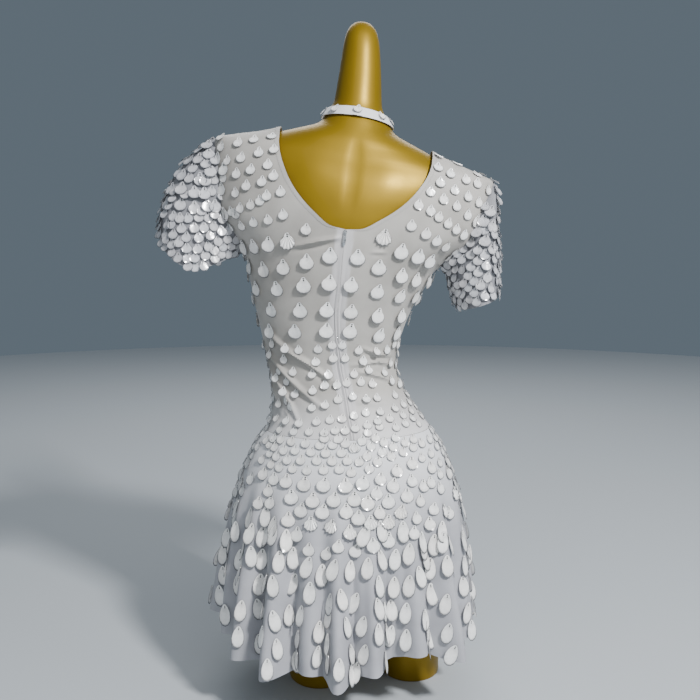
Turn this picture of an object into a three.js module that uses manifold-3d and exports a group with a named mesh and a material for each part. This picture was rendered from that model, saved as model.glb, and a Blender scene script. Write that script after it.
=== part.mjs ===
// A fitted mini dress with flared skirt, short sleeves and a choker band, on a torso dress form.
// Millimetres, +Z up. The wearer faces +Y, so the zip in the back faces -Y.
// Every surface is first worked out on an upright figure and then leaned and turned by stand().
import * as THREE from 'three';
import { mergeVertices } from 'three/addons/utils/BufferGeometryUtils.js';
import Module from 'manifold-3d';

const cloth = 1.6;          // wall of the stretch cloth
const ease = 1.3;           // cloth to form
const shoulderEase = 1.8;   // more ease over the shoulders
const seamGap = 0.3;        // between sewn pieces
const hipSeam = 428;        // height where the skirt joins the bodice
const underarm = 700;       // lowest point of the armhole
const shoulderEnd = 853;    // highest point of the armhole
const armholeTurn = 22;     // degrees that the armhole reaches round to back and front
const zipHalf = 1.3;        // half the opening that holds the zip coil
const seamSlack = 0.0008;   // radians added at the side seams, where the section is tightest
const formSides = 32;
const thighSides = 24;
const sleeveSides = 20;
const bodiceColumns = 12;
const sideRows = 12;        // rows of the bodice up to the underarm
const armRows = sleeveSides / 2;   // rows beside the armhole
const zipRow = 5;           // the row where the zip ends
const footprint = { x: -33, y: -14 };   // middle of the whole outline seen from above

// Upright figure: body is the form's half width, fitted the bodice's, front and back its depths
const figure = [
  { z: 214, body: 40, fitted: 40, front: 30, back: 34 },
  { z: 222, body: 92, fitted: 92, front: 56, back: 62 },
  { z: 236, body: 128, fitted: 128, front: 78, back: 84 },
  { z: 262, body: 150, fitted: 150, front: 90, back: 98 },
  { z: 300, body: 161, fitted: 161, front: 96, back: 107 },
  { z: 340, body: 162, fitted: 162, front: 95, back: 110 },
  { z: 380, body: 155, fitted: 155, front: 90, back: 106 },
  { z: 405, body: 145, fitted: 145, front: 87, back: 101 },
  { z: 428, body: 131, fitted: 131, front: 84, back: 95 },
  { z: 455, body: 116, fitted: 116, front: 79, back: 85 },
  { z: 485, body: 105, fitted: 105, front: 75, back: 78 },
  { z: 515, body: 101, fitted: 101, front: 73, back: 75 },
  { z: 545, body: 103, fitted: 103, front: 75, back: 77 },
  { z: 590, body: 113, fitted: 113, front: 82, back: 85 },
  { z: 642, body: 129, fitted: 129, front: 96, back: 92 },
  { z: 668, body: 137, fitted: 139, front: 103, back: 95 },
  { z: 690, body: 140, fitted: 146, front: 107, back: 97 },
  { z: 715, body: 144, fitted: 164, front: 106, back: 98 },
  { z: 757, body: 152, fitted: 205, front: 98, back: 97 },
  { z: 785, body: 160, fitted: 213, front: 91, back: 94 },
  { z: 820, body: 174, fitted: 218, front: 76, back: 86 },
  { z: 840, body: 180, fitted: 219, front: 67, back: 78 },
  { z: 853, body: 177, fitted: 217, front: 62, back: 72 },
  { z: 862, body: 164, fitted: 190, front: 58, back: 69 },
  { z: 872, body: 142, fitted: 152, front: 55, back: 65 },
  { z: 884, body: 112, fitted: 118, front: 52, back: 61 },
  { z: 892, body: 90, fitted: 94, front: 50, back: 57 },
  { z: 904, body: 61, fitted: 64, front: 47, back: 52 },
  { z: 918, body: 50, fitted: 50, front: 45, back: 47 },
  { z: 931, body: 43, fitted: 43, front: 42, back: 42 },
  { z: 943, body: 38, fitted: 38, front: 39, back: 39 },
  { z: 975, body: 34.5, fitted: 34.5, front: 36, back: 36 },
  { z: 1006, body: 31.5, fitted: 31.5, front: 33, back: 33 },
  { z: 1035, body: 28.5, fitted: 28.5, front: 30, back: 30 },
  { z: 1052, body: 25, fitted: 25, front: 26, back: 26 },
  { z: 1063, body: 20, fitted: 20, front: 20, back: 20 },
  { z: 1070, body: 13, fitted: 13, front: 13, back: 13 },
];
const formTop = 1073;
const formBottom = 211;

// Thighs: across and deep are half sizes of the section, apart is its distance from the middle
const thigh = [
  { z: 0, across: 49, deep: 55, apart: 78 },
  { z: 60, across: 55, deep: 62, apart: 77 },
  { z: 120, across: 62, deep: 70, apart: 77 },
  { z: 180, across: 69, deep: 78, apart: 77 },
  { z: 225, across: 73, deep: 84, apart: 77 },
  { z: 262, across: 68, deep: 80, apart: 76 },
  { z: 282, across: 48, deep: 58, apart: 74 },
];
const thighTop = 290;

// How the figure stands: x and y move its middle, turn swings its left side back, lean lifts it
const stance = [
  { z: 0, x: 25, y: 9, turn: 9, lean: 0 },
  { z: 150, x: 12, y: 4, turn: 8, lean: 0 },
  { z: 300, x: 0, y: -4, turn: 6, lean: 0 },
  { z: 430, x: -4, y: -4, turn: 5, lean: 0 },
  { z: 460, x: -10, y: 0, turn: 6, lean: 0 },
  { z: 486, x: -18, y: 4, turn: 9, lean: 0 },
  { z: 512, x: -25, y: 7, turn: 11, lean: 0 },
  { z: 540, x: -29, y: 9, turn: 10, lean: 0.5 },
  { z: 570, x: -30, y: 9, turn: 8, lean: 1.5 },
  { z: 617, x: -28, y: 7, turn: 5, lean: 3 },
  { z: 668, x: -20, y: 3, turn: 3, lean: 4.5 },
  { z: 720, x: -12, y: 0, turn: 1, lean: 6 },
  { z: 800, x: 0, y: -4, turn: 0, lean: 8 },
  { z: 884, x: 10, y: 0, turn: 0, lean: 9 },
  { z: 943, x: 13, y: 12, turn: 0, lean: 9 },
  { z: 1003, x: 17, y: 27, turn: 0, lean: 6 },
  { z: 1073, x: 20, y: 44, turn: 0, lean: 5 },
];

// Skirt below the hip seam; fold is the share of the flutes' depth
const skirt = [
  { z: 60, half: 203, front: 180, back: 187, fold: 1.05 },
  { z: 110, half: 202, front: 174, back: 181, fold: 0.9 },
  { z: 160, half: 199, front: 164, back: 172, fold: 0.7 },
  { z: 220, half: 194, front: 150, back: 158, fold: 0.45 },
  { z: 270, half: 188, front: 137, back: 145, fold: 0.25 },
  { z: 310, half: 181, front: 125, back: 134, fold: 0.12 },
  { z: 345, half: 172, front: 112, back: 123, fold: 0.04 },
  { z: 380, half: 159, front: 98, back: 110, fold: 0 },
  { z: 405, half: 147, front: 89, back: 102, fold: 0 },
  { z: 428, half: 131, front: 84, back: 95, fold: 0 },
];

// Flutes by their ridge lines, in degrees from the middle of the back towards +X; valley follows the
// ridge, and hem is the height of the hem there
const flutes = [
  { turn: -90, ridge: 28, valley: 22, hem: 124 },
  { turn: -73, ridge: 10, valley: 18, hem: 108 },
  { turn: -56, ridge: 24, valley: 22, hem: 90 },
  { turn: -38, ridge: 32, valley: 20, hem: 79 },
  { turn: -22, ridge: 9, valley: 12, hem: 88 },
  { turn: -8, ridge: 32, valley: 16, hem: 74 },
  { turn: 6, ridge: 16, valley: 34, hem: 90 },
  { turn: 30, ridge: 8, valley: 26, hem: 104 },
  { turn: 46, ridge: 32, valley: 24, hem: 86 },
  { turn: 68, ridge: 13, valley: 24, hem: 96 },
  { turn: 90, ridge: 13, valley: 22, hem: 104 },
  { turn: 109, ridge: 15, valley: 24, hem: 96 },
  { turn: 125, ridge: 27, valley: 18, hem: 92 },
  { turn: 143, ridge: 13, valley: 22, hem: 101 },
  { turn: 160, ridge: 28, valley: 24, hem: 94 },
  { turn: 178, ridge: 17, valley: 20, hem: 103 },
  { turn: 194, ridge: 26, valley: 25, hem: 97 },
  { turn: 213, ridge: 14, valley: 22, hem: 96 },
  { turn: 230, ridge: 29, valley: 20, hem: 102 },
  { turn: 248, ridge: 16, valley: 24, hem: 110 },
  { turn: 270, ridge: 28, valley: 22, hem: 124 },
];
const fluteSteps = 6;
const skirtRows = 9;

// Necklines by distance from the middle; back and front are heights
const neckline = [
  { x: 0, back: 750, front: 800 },
  { x: 22, back: 753, front: 802 },
  { x: 47, back: 768, front: 809 },
  { x: 82, back: 798, front: 826 },
  { x: 105, back: 831, front: 849 },
  { x: 116, back: 860, front: 869 },
  { x: 118, back: 884, front: 884 },
];

// Sleeves by rings from armhole to cuff, where they hang: under and over are the ring's ends, deep
// its half size front to back, and bulge how far its sides stand out from the line between the ends
const sleeveLeft = [
  { s: 0.35, underX: -174, underZ: 713, overX: -249, overZ: 862, deep: 46, bulge: 12, y: -2 },
  { s: 0.6, underX: -178, underZ: 711, overX: -280, overZ: 820, deep: 54, bulge: 16, y: -2 },
  { s: 0.8, underX: -182, underZ: 709, overX: -297, overZ: 782, deep: 59, bulge: 24, y: -2 },
  { s: 1, underX: -185, underZ: 706, overX: -302, overZ: 744, deep: 62, bulge: 34, y: -2 },
];
const sleeveRight = [
  { s: 0.35, underX: 152, underZ: 686, overX: 231, overZ: 808, deep: 45, bulge: 16, y: -3 },
  { s: 0.6, underX: 157, underZ: 668, overX: 233, overZ: 752, deep: 52, bulge: 10, y: -3 },
  { s: 0.8, underX: 163, underZ: 645, overX: 236, overZ: 697, deep: 60, bulge: 5, y: -3 },
  { s: 1, underX: 171, underZ: 622, overX: 236, overZ: 643, deep: 66, bulge: 0, y: -3 },
];
const sleeveSteps = [0, 0.06, 0.2, 0.35, 0.5, 0.65, 0.8, 1];

const chokerLow = 911;
const chokerHigh = 925;
const chokerRise = 0.17;    // how steeply the band rises from front to back
const chokerLap = 3;        // degrees between its ends at the back
const chokerColumns = 26;

const degrees = Math.PI / 180;

// Smooth reading of one column of a table, with no overshoot between its rows
function read(rows, along, key, at) {
  const last = rows.length - 1;
  if (at <= rows[0][along]) return rows[0][key];
  if (at >= rows[last][along]) return rows[last][key];
  let i = 0;
  while (rows[i + 1][along] < at) i += 1;
  const rise = (j) => (rows[j + 1][key] - rows[j][key]) / (rows[j + 1][along] - rows[j][along]);
  const slope = (j) => {
    if (j === 0) return rise(0);
    if (j === last) return rise(last - 1);
    const before = rise(j - 1);
    const after = rise(j);
    return before * after > 0 ? (2 * before * after) / (before + after) : 0;
  };
  const span = rows[i + 1][along] - rows[i][along];
  const t = (at - rows[i][along]) / span;
  const blend = t * t * (3 - 2 * t);
  const start = t * (1 - t) * (1 - t) * span * slope(i);
  const end = t * t * (1 - t) * span * slope(i + 1);
  return rows[i][key] * (1 - blend) + rows[i + 1][key] * blend + start - end;
}

// Leans and turns a point of the upright figure, by the stance at its height or at another
function stand(p, level = p.z) {
  const turn = read(stance, 'z', 'turn', level) * degrees;
  const lean = read(stance, 'z', 'lean', level) * degrees;
  const across = p.x * Math.cos(lean);
  return new THREE.Vector3(
    read(stance, 'z', 'x', level) + across * Math.cos(turn) - p.y * Math.sin(turn) - footprint.x,
    read(stance, 'z', 'y', level) + across * Math.sin(turn) + p.y * Math.cos(turn) - footprint.y,
    p.z - p.x * Math.sin(lean),
  );
}

// Point of an upright section; turn runs from the middle of the back towards +X
function section(half, front, back, turn, z) {
  const deep = Math.cos(turn) > 0 ? back : front;
  return new THREE.Vector3(half * Math.sin(turn), -deep * Math.cos(turn), z);
}

function onFigure(width, turn, z) {
  const half = read(figure, 'z', width, z);
  return section(half, read(figure, 'z', 'front', z), read(figure, 'z', 'back', z), turn, z);
}

const onFitted = (turn, z) => onFigure('fitted', turn, z);
const onBody = (turn, z) => onFigure('body', turn, z);

function flute(turn) {
  const at = THREE.MathUtils.euclideanModulo(turn / degrees + 90, 360) - 90;
  let i = 0;
  while (i < flutes.length - 2 && flutes[i + 1].turn <= at) i += 1;
  const [from, to] = [flutes[i], flutes[i + 1]];
  const t = (at - from.turn) / (to.turn - from.turn);
  const crest = 0.5 + 0.5 * Math.cos(2 * Math.PI * t);
  const blend = 0.5 - 0.5 * Math.cos(Math.PI * t);
  const ridge = THREE.MathUtils.lerp(from.ridge, to.ridge, blend);
  const hem = THREE.MathUtils.lerp(from.hem, to.hem, blend);
  return { out: ridge * crest - from.valley * (1 - crest), hem };
}

function onSkirt(turn, z) {
  const out = flute(turn).out * read(skirt, 'z', 'fold', z);
  const half = read(skirt, 'z', 'half', z) + out;
  return section(half, read(skirt, 'z', 'front', z) + out, read(skirt, 'z', 'back', z) + out, turn, z);
}

// Outward direction of a surface given by two parameters
function outward(surface, u, v, du, dv) {
  const alongU = surface(u + du, v).sub(surface(u - du, v));
  const alongV = surface(u, v + dv).sub(surface(u, v - dv));
  return alongU.cross(alongV).normalize();
}

function easeAt(z) {
  return ease + shoulderEase * THREE.MathUtils.smoothstep(z, 830, 875);
}

// Point that lies a little way out from a surface of the upright figure
function lifted(surface, turn, z, lift) {
  return surface(turn, z).addScaledVector(outward(surface, turn, z, 0.01, 1), lift);
}

// Both faces of the cloth at a point of such a surface
function clothAt(surface, turn, z) {
  return {
    inner: stand(lifted(surface, turn, z, easeAt(z))),
    outer: stand(lifted(surface, turn, z, easeAt(z) + cloth)),
  };
}

// Grid of cloth points over u and v from 0 to 1, as triangles of points with two faces
function patch(columns, rows, pointAt, flip = false) {
  const grid = [];
  for (let j = 0; j <= rows; j += 1) {
    grid.push(Array.from({ length: columns + 1 }, (_, i) => pointAt(i / columns, j / rows)));
  }
  const triangles = [];
  for (let j = 0; j < rows; j += 1) {
    for (let i = 0; i < columns; i += 1) {
      const [a, b, c, d] = [grid[j][i], grid[j][i + 1], grid[j + 1][i + 1], grid[j + 1][i]];
      triangles.push(flip ? [a, c, b] : [a, b, c], flip ? [a, d, c] : [a, c, d]);
    }
  }
  return triangles;
}

// Closed wall from such triangles: outer face, inner face, and a rim along every free edge
function wall(triangles) {
  const key = (p) => p.inner.toArray().map((value) => Math.round(value * 1000)).join(' ');
  const edges = new Map();
  const corners = [];
  const face = (...points) => points.forEach((p) => corners.push(p.x, p.y, p.z));
  for (const triangle of triangles) {
    const [a, b, c] = triangle;
    face(a.outer, b.outer, c.outer);
    face(a.inner, c.inner, b.inner);
    for (let i = 0; i < 3; i += 1) {
      const [from, to] = [triangle[i], triangle[(i + 1) % 3]];
      const twin = `${key(to)}|${key(from)}`;
      if (!edges.delete(twin)) edges.set(`${key(from)}|${key(to)}`, [from, to]);
    }
  }
  for (const [from, to] of edges.values()) {
    face(to.outer, from.outer, from.inner);
    face(to.outer, from.inner, to.inner);
  }
  return weld(corners);
}

function weld(corners) {
  const geometry = new THREE.BufferGeometry();
  geometry.setAttribute('position', new THREE.Float32BufferAttribute(corners, 3));
  return mergeVertices(geometry, 0.001);
}

// Closed body through rings of equal length, with a point or a flat end at each side
function loft(rings, low, high) {
  const corners = [];
  const face = (...points) => points.forEach((p) => corners.push(p.x, p.y, p.z));
  const count = rings[0].length;
  for (let i = 0; i < count; i += 1) {
    const next = (i + 1) % count;
    face(low, rings[0][next], rings[0][i]);
    face(high, rings[rings.length - 1][i], rings[rings.length - 1][next]);
    for (let j = 0; j < rings.length - 1; j += 1) {
      const [a, b, c, d] = [rings[j][i], rings[j][next], rings[j + 1][next], rings[j + 1][i]];
      face(a, b, c);
      face(a, c, d);
    }
  }
  return weld(corners);
}

function ringOf(sides, pointAt) {
  return Array.from({ length: sides }, (_, i) => pointAt((i / sides) * 2 * Math.PI));
}

const wasm = await Module();
wasm.setup();

function toSolid(geometry) {
  return new wasm.Manifold(new wasm.Mesh({
    numProp: 3,
    vertProperties: new Float32Array(geometry.attributes.position.array),
    triVerts: new Uint32Array(geometry.index.array),
  }));
}

function fromSolid(solid) {
  const mesh = solid.getMesh();
  const geometry = new THREE.BufferGeometry();
  geometry.setAttribute('position', new THREE.BufferAttribute(new Float32Array(mesh.vertProperties), 3));
  geometry.setIndex(new THREE.BufferAttribute(new Uint32Array(mesh.triVerts), 1));
  return geometry;
}

function heights(from, to, step) {
  const count = Math.round((to - from) / step);
  return Array.from({ length: count + 1 }, (_, i) => from + ((to - from) * i) / count);
}

// The form: torso with neck, and two thighs that end flat
function formGeometry() {
  const levels = [
    ...heights(216, 396, 30), ...heights(412, 826, 18), 840, 850, 858, 865, 873, 881, 888, 895, 903, 912,
    922, 934, 950, 978, 1006, 1030, 1046, 1057, 1065, 1070,
  ];
  const rings = levels.map((z) => ringOf(formSides, (turn) => stand(onFigure('body', turn, z))));
  const pole = (z) => stand(new THREE.Vector3(0, 0, z));
  let solid = toSolid(loft(rings, pole(formBottom), pole(formTop)));
  for (const side of [-1, 1]) {
    const legRings = thigh.map((row) => ringOf(thighSides, (turn) => {
      const p = section(row.across, row.deep, row.deep, turn, row.z);
      return stand(p.setX(p.x + side * row.apart));
    }));
    const legEnd = (z) => stand(new THREE.Vector3(side * read(thigh, 'z', 'apart', z), 0, z));
    solid = solid.add(toSolid(loft(legRings, legEnd(0), legEnd(thighTop))));
  }
  return fromSolid(solid);
}

// Height and turn of the armhole's edge, by the edge's own angle from its top
function armhole(angle, shrink = 0) {
  const middle = (shoulderEnd + underarm) / 2;
  const reach = (shoulderEnd - underarm) / 2 - shrink;
  const half = armholeTurn * degrees * (1 - (shrink * 2) / (shoulderEnd - underarm));
  return { z: middle + reach * Math.cos(angle), turn: Math.PI / 2 - half * Math.sin(angle) };
}

// Places along a neckline at equal steps of its own length, from the middle to the shoulder
function alongNeckline(side, steps) {
  const fine = 200;
  const end = neckline[neckline.length - 1].x;
  const points = Array.from({ length: fine + 1 }, (_, i) => {
    const x = end * Math.sin((i / fine) * (Math.PI / 2));
    const z = read(neckline, 'x', side, x);
    const turn = Math.asin(Math.min(x / read(figure, 'z', 'fitted', z), 1));
    return { x, z, turn, p: onFigure('fitted', turn, z), length: 0 };
  });
  for (let i = 1; i <= fine; i += 1) {
    points[i].length = points[i - 1].length + points[i].p.distanceTo(points[i - 1].p);
  }
  const total = points[fine].length;
  const atShare = (share) => points.find((q) => q.length >= total * share - 1e-9);
  return Array.from({ length: steps + 1 }, (_, i) => atShare(i / steps));
}

// Height of a bodice row below the underarm; the rows lie closer together towards the top
function rowHeight(row, top) {
  const low = hipSeam + seamGap / 2;
  return top - (top - low) * (1 - row / sideRows) ** 1.25;
}

// Edge of a bodice half from the hip seam up: along the middle and the neckline
function innerEdge(row, side, curve) {
  const halfZip = row < zipRow ? seamGap / 2 : zipHalf;
  const open = side === 'front' ? 0 : halfZip;
  if (row <= sideRows) {
    const z = rowHeight(row, neckline[0][side]);
    return { z, turn: Math.asin(open / read(figure, 'z', 'fitted', z)) };
  }
  const place = curve[row - sideRows];
  return { z: place.z, turn: Math.min(Math.max(place.turn, 0.01), Math.PI / 2 - seamTurn(place.z)) };
}

// Angle that leaves half a seam's gap at the side and shoulder seams
function seamTurn(z) {
  return seamGap / 2 / read(figure, 'z', 'back', z) + seamSlack;
}

// The other edge: side seam, then armhole
function outerEdge(row) {
  if (row <= sideRows) {
    const z = rowHeight(row, underarm);
    return { z, turn: Math.PI / 2 - seamTurn(z) };
  }
  const edge = armhole(Math.PI * (1 - (row - sideRows) / armRows));
  return { z: edge.z, turn: Math.min(edge.turn, Math.PI / 2 - seamTurn(edge.z)) };
}

function bodicePatch(side, mirror) {
  const curve = alongNeckline(side, armRows);
  const rows = sideRows + armRows;
  const pointAt = (u, v) => {
    const row = Math.round(v * rows);
    const inner = innerEdge(row, side, curve);
    const outer = outerEdge(row);
    const z = THREE.MathUtils.lerp(inner.z, outer.z, u);
    const fromMiddle = THREE.MathUtils.lerp(inner.turn, outer.turn, u);
    const turn = side === 'front' ? Math.PI - mirror * fromMiddle : mirror * fromMiddle;
    return clothAt(onFitted, turn, z);
  };
  return patch(bodiceColumns, rows, pointAt, side === 'front' ? mirror > 0 : mirror < 0);
}

function skirtGeometry(first, last) {
  const ridges = flutes.slice(first, last + 1);
  const columns = (ridges.length - 1) * fluteSteps;
  const [start, end] = [ridges[0].turn, ridges[ridges.length - 1].turn];
  const turnAt = (u) => {
    const place = u * (ridges.length - 1);
    const i = Math.min(Math.floor(place), ridges.length - 2);
    const raw = THREE.MathUtils.lerp(ridges[i].turn, ridges[i + 1].turn, place - i);
    return THREE.MathUtils.clamp(raw, start + 0.1, end - 0.1) * degrees;
  };
  const pointAt = (u, v) => {
    const turn = turnAt(u);
    const z = THREE.MathUtils.lerp(hipSeam - seamGap / 2, flute(turn).hem, v);
    return {
      inner: stand(lifted(onSkirt, turn, z, ease), hipSeam),
      outer: stand(lifted(onSkirt, turn, z, ease + cloth), hipSeam),
    };
  };
  return wall(patch(columns, skirtRows, pointAt, true));
}

// Sleeve: its first ring lies inside the armhole's edge, the others come from its table
function sleeveGeometry(rows, side) {
  const root = (angle, lift) => {
    const edge = armhole(angle, seamGap + 1.5 - 1.4 * Math.cos(angle));
    return stand(lifted(onFitted, side * edge.turn, edge.z, easeAt(edge.z) + lift));
  };
  const ring = (row, angle) => {
    const middle = new THREE.Vector3((row.underX + row.overX) / 2, row.y, (row.underZ + row.overZ) / 2);
    const over = new THREE.Vector3(row.overX, row.y, row.overZ).sub(middle);
    const away = new THREE.Vector3(over.z, 0, -over.x).normalize().multiplyScalar(side);
    middle.addScaledVector(over, Math.cos(angle)).addScaledVector(away, row.bulge * Math.sin(angle) ** 2);
    return middle.add(new THREE.Vector3(-footprint.x, -row.deep * Math.sin(angle) - footprint.y, 0));
  };
  const surface = (angle, s) => {
    const starts = [{ s: 0, p: root(angle, 0) }, { s: sleeveSteps[1], p: root(angle, cloth + 0.8) }];
    const knots = [...starts, ...rows.map((row) => ({ s: row.s, p: ring(row, angle) }))];
    const table = knots.map(({ s: at, p }) => ({ s: at, x: p.x, y: p.y, z: p.z }));
    return new THREE.Vector3(...['x', 'y', 'z'].map((axis) => read(table, 's', axis, s)));
  };
  const pointAt = (u, v) => {
    const angle = u * 2 * Math.PI;
    const at = sleeveSteps[Math.round(v * (sleeveSteps.length - 1))];
    const s = Math.min(Math.max(at, 0.002), 0.998);
    const normal = outward(surface, angle, s, 0.02, 0.002).multiplyScalar(side);
    const outer = surface(angle, at);
    return { outer, inner: outer.clone().addScaledVector(normal, -cloth) };
  };
  return wall(patch(sleeveSides, sleeveSteps.length - 1, pointAt, side < 0));
}

function chokerGeometry() {
  const pointAt = (u, v) => {
    const turn = (chokerLap / 2 + u * (360 - chokerLap)) * degrees;
    const drop = chokerRise * onBody(turn, chokerLow).y;
    const z = THREE.MathUtils.lerp(chokerLow, chokerHigh, v) - drop;
    return {
      inner: stand(lifted(onBody, turn, z, ease)),
      outer: stand(lifted(onBody, turn, z, ease + cloth)),
    };
  };
  return wall(patch(chokerColumns, 2, pointAt));
}

// Frame on the back at the zip's line: along the zip, outwards, and across it
function zipFrame(z) {
  const up = stand(onFitted(0, z + 4)).sub(stand(onFitted(0, z - 4))).normalize();
  const across = stand(onFitted(0.03, z)).sub(stand(onFitted(-0.03, z)));
  across.addScaledVector(up, -across.dot(up)).normalize();
  return { at: stand(onFitted(0, z)), up, across, out: across.clone().cross(up).normalize() };
}

function zipCoilGeometry() {
  const half = zipHalf - seamGap;
  const rows = Array.from({ length: sideRows - zipRow + 1 }, (_, i) => zipRow + i);
  const levels = rows.map((row) => rowHeight(row, neckline[0].back));
  const pointAt = (u, v) => {
    const frame = zipFrame(levels[Math.round(v * (levels.length - 1))]);
    const side = frame.at.addScaledVector(frame.across, THREE.MathUtils.lerp(-half, half, u));
    return {
      inner: side.clone().addScaledVector(frame.out, ease),
      outer: side.clone().addScaledVector(frame.out, ease + 1.4),
    };
  };
  return wall(patch(1, levels.length - 1, pointAt));
}

const slider = { long: 9, wide: 6, thick: 1.6, seat: ease + cloth + seamGap, at: neckline[0].back - 5 };
const bridge = { wide: 1.8, low: -2, high: 3.4, wall: 0.9, clear: 2.2 };
const pull = { bar: 0.9, window: 4.3, long: 21, wide: 5.2, arm: 0.9, slack: 0.45 };
const hinge = { up: (bridge.low + bridge.high) / 2, out: slider.thick + bridge.clear / 2 };

function place(geometry) {
  const { at, up, across, out } = zipFrame(slider.at);
  const origin = at.addScaledVector(out, slider.seat);
  const matrix = new THREE.Matrix4().makeBasis(across, up, out).setPosition(origin);
  return geometry.applyMatrix4(matrix);
}

function plate(outline, thickness) {
  const shape = new THREE.Shape(outline);
  const geometry = new THREE.ExtrudeGeometry(shape, { depth: thickness, bevelEnabled: false });
  geometry.deleteAttribute('normal');
  geometry.deleteAttribute('uv');
  return mergeVertices(geometry, 0.001);
}

const point2 = (x, y) => new THREE.Vector2(x, y);

// Slider: a plate with a bridge that holds the pull tab
function sliderGeometry() {
  const half = slider.wide / 2;
  const long = slider.long / 2;
  const body = plate([
    point2(-half * 0.7, -long), point2(half * 0.7, -long), point2(half, long * 0.3),
    point2(half * 0.75, long), point2(-half * 0.75, long), point2(-half, long * 0.3),
  ], slider.thick);
  const top = slider.thick + bridge.clear + bridge.wall;
  const foot = slider.thick - 0.6;
  const { low, high, wall: thin } = bridge;
  const profile = [
    point2(foot, low - thin), point2(top - 0.7, low - thin), point2(top, low), point2(top, high),
    point2(top - 0.7, high + thin), point2(foot, high + thin), point2(foot, high),
    point2(top - thin, high), point2(top - thin, low), point2(foot, low),
  ];
  const arch = plate(profile, bridge.wide);
  const swap = new THREE.Matrix4().makeBasis(
    new THREE.Vector3(0, 0, 1), new THREE.Vector3(0, 1, 0), new THREE.Vector3(-1, 0, 0),
  );
  arch.applyMatrix4(swap);
  arch.translate(bridge.wide / 2, 0, 0);
  return place(fromSolid(toSolid(body).add(toSolid(arch))));
}

// Pull tab: a flat drop with a window that the bridge passes through
function pullGeometry() {
  const inside = bridge.wide / 2 + pull.slack;
  const outside = inside + pull.arm;
  const top = pull.bar / 2;
  const low = -pull.window;
  const wide = pull.wide / 2;
  const outline = [
    point2(-outside, top), point2(-outside, low), point2(-wide, -pull.long * 0.72),
    point2(-wide * 0.7, -pull.long * 0.93), point2(0, -pull.long), point2(wide * 0.7, -pull.long * 0.93),
    point2(wide, -pull.long * 0.72), point2(outside, low), point2(outside, top),
  ];
  const hole = [point2(-inside, -top), point2(inside, -top), point2(inside, low), point2(-inside, low)];
  const cutter = plate(hole, pull.bar + 2);
  cutter.translate(0, 0, -1);
  const tab = fromSolid(toSolid(plate(outline, pull.bar)).subtract(toSolid(cutter)));
  tab.translate(0, hinge.up, hinge.out - pull.bar / 2);
  return place(tab);
}

const materials = {
  gold: { color: '#b08d3c', metalness: 1, roughness: 0.16 },
  stretch: { color: '#dcdad8', metalness: 0, roughness: 0.62 },
  skirting: { color: '#dfe0e4', metalness: 0, roughness: 0.66 },
  zipTape: { color: '#cfcdca', metalness: 0, roughness: 0.55 },
  nickel: { color: '#c3c6ca', metalness: 1, roughness: 0.24 },
};

const dress = new THREE.Group();

function add(name, geometry, finish) {
  const mesh = new THREE.Mesh(geometry, new THREE.MeshStandardMaterial(materials[finish]));
  mesh.name = name;
  dress.add(mesh);
}

const ridgesBack = flutes.findIndex((row) => row.turn === 90);

add('dress_form', formGeometry(), 'gold');
add('bodice_back_left', wall(bodicePatch('back', -1)), 'stretch');
add('bodice_back_right', wall(bodicePatch('back', 1)), 'stretch');
add('bodice_front', wall([...bodicePatch('front', -1), ...bodicePatch('front', 1)]), 'stretch');
add('sleeve_left', sleeveGeometry(sleeveLeft, -1), 'stretch');
add('sleeve_right', sleeveGeometry(sleeveRight, 1), 'stretch');
add('skirt_back', skirtGeometry(0, ridgesBack), 'skirting');
add('skirt_front', skirtGeometry(ridgesBack, flutes.length - 1), 'skirting');
add('choker_band', chokerGeometry(), 'stretch');
add('zip_coil', zipCoilGeometry(), 'zipTape');
add('zip_slider', sliderGeometry(), 'nickel');
add('zip_pull', pullGeometry(), 'nickel');

export default dress;
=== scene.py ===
import math
import bmesh
import bpy
import numpy as np
from mathutils import Matrix, Vector
from mathutils.bvhtree import BVHTree


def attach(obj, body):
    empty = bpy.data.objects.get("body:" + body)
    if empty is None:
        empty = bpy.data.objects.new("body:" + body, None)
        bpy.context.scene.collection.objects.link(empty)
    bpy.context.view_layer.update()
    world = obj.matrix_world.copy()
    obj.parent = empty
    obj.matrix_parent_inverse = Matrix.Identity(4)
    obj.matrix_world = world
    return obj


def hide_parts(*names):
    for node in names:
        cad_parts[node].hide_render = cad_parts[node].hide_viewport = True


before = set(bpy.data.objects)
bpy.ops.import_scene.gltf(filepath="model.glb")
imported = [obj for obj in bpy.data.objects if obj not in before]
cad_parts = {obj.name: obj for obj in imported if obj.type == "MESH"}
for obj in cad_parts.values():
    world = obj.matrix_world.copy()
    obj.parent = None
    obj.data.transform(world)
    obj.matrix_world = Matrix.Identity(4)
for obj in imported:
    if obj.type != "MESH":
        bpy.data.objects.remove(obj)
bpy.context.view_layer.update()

# A paillette mini dress worn by a gilded torso form, seen from its back.
# Tables and lengths are in millimetres in the CAD's own frame; meshes are written in metres.

cloth = {"thickness": 1.2, "ease": 1.3, "wall": 1.6, "shoulderEase": 1.8}
hipSeam = 428
underarm = 700
shoulderEnd = 853
armholeTurn = 22
zipHalf = 1.3
footprint = (-33, -14)


def table(columns, rows):
    return dict(zip(columns.split(), np.array(rows, float).T))


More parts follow.
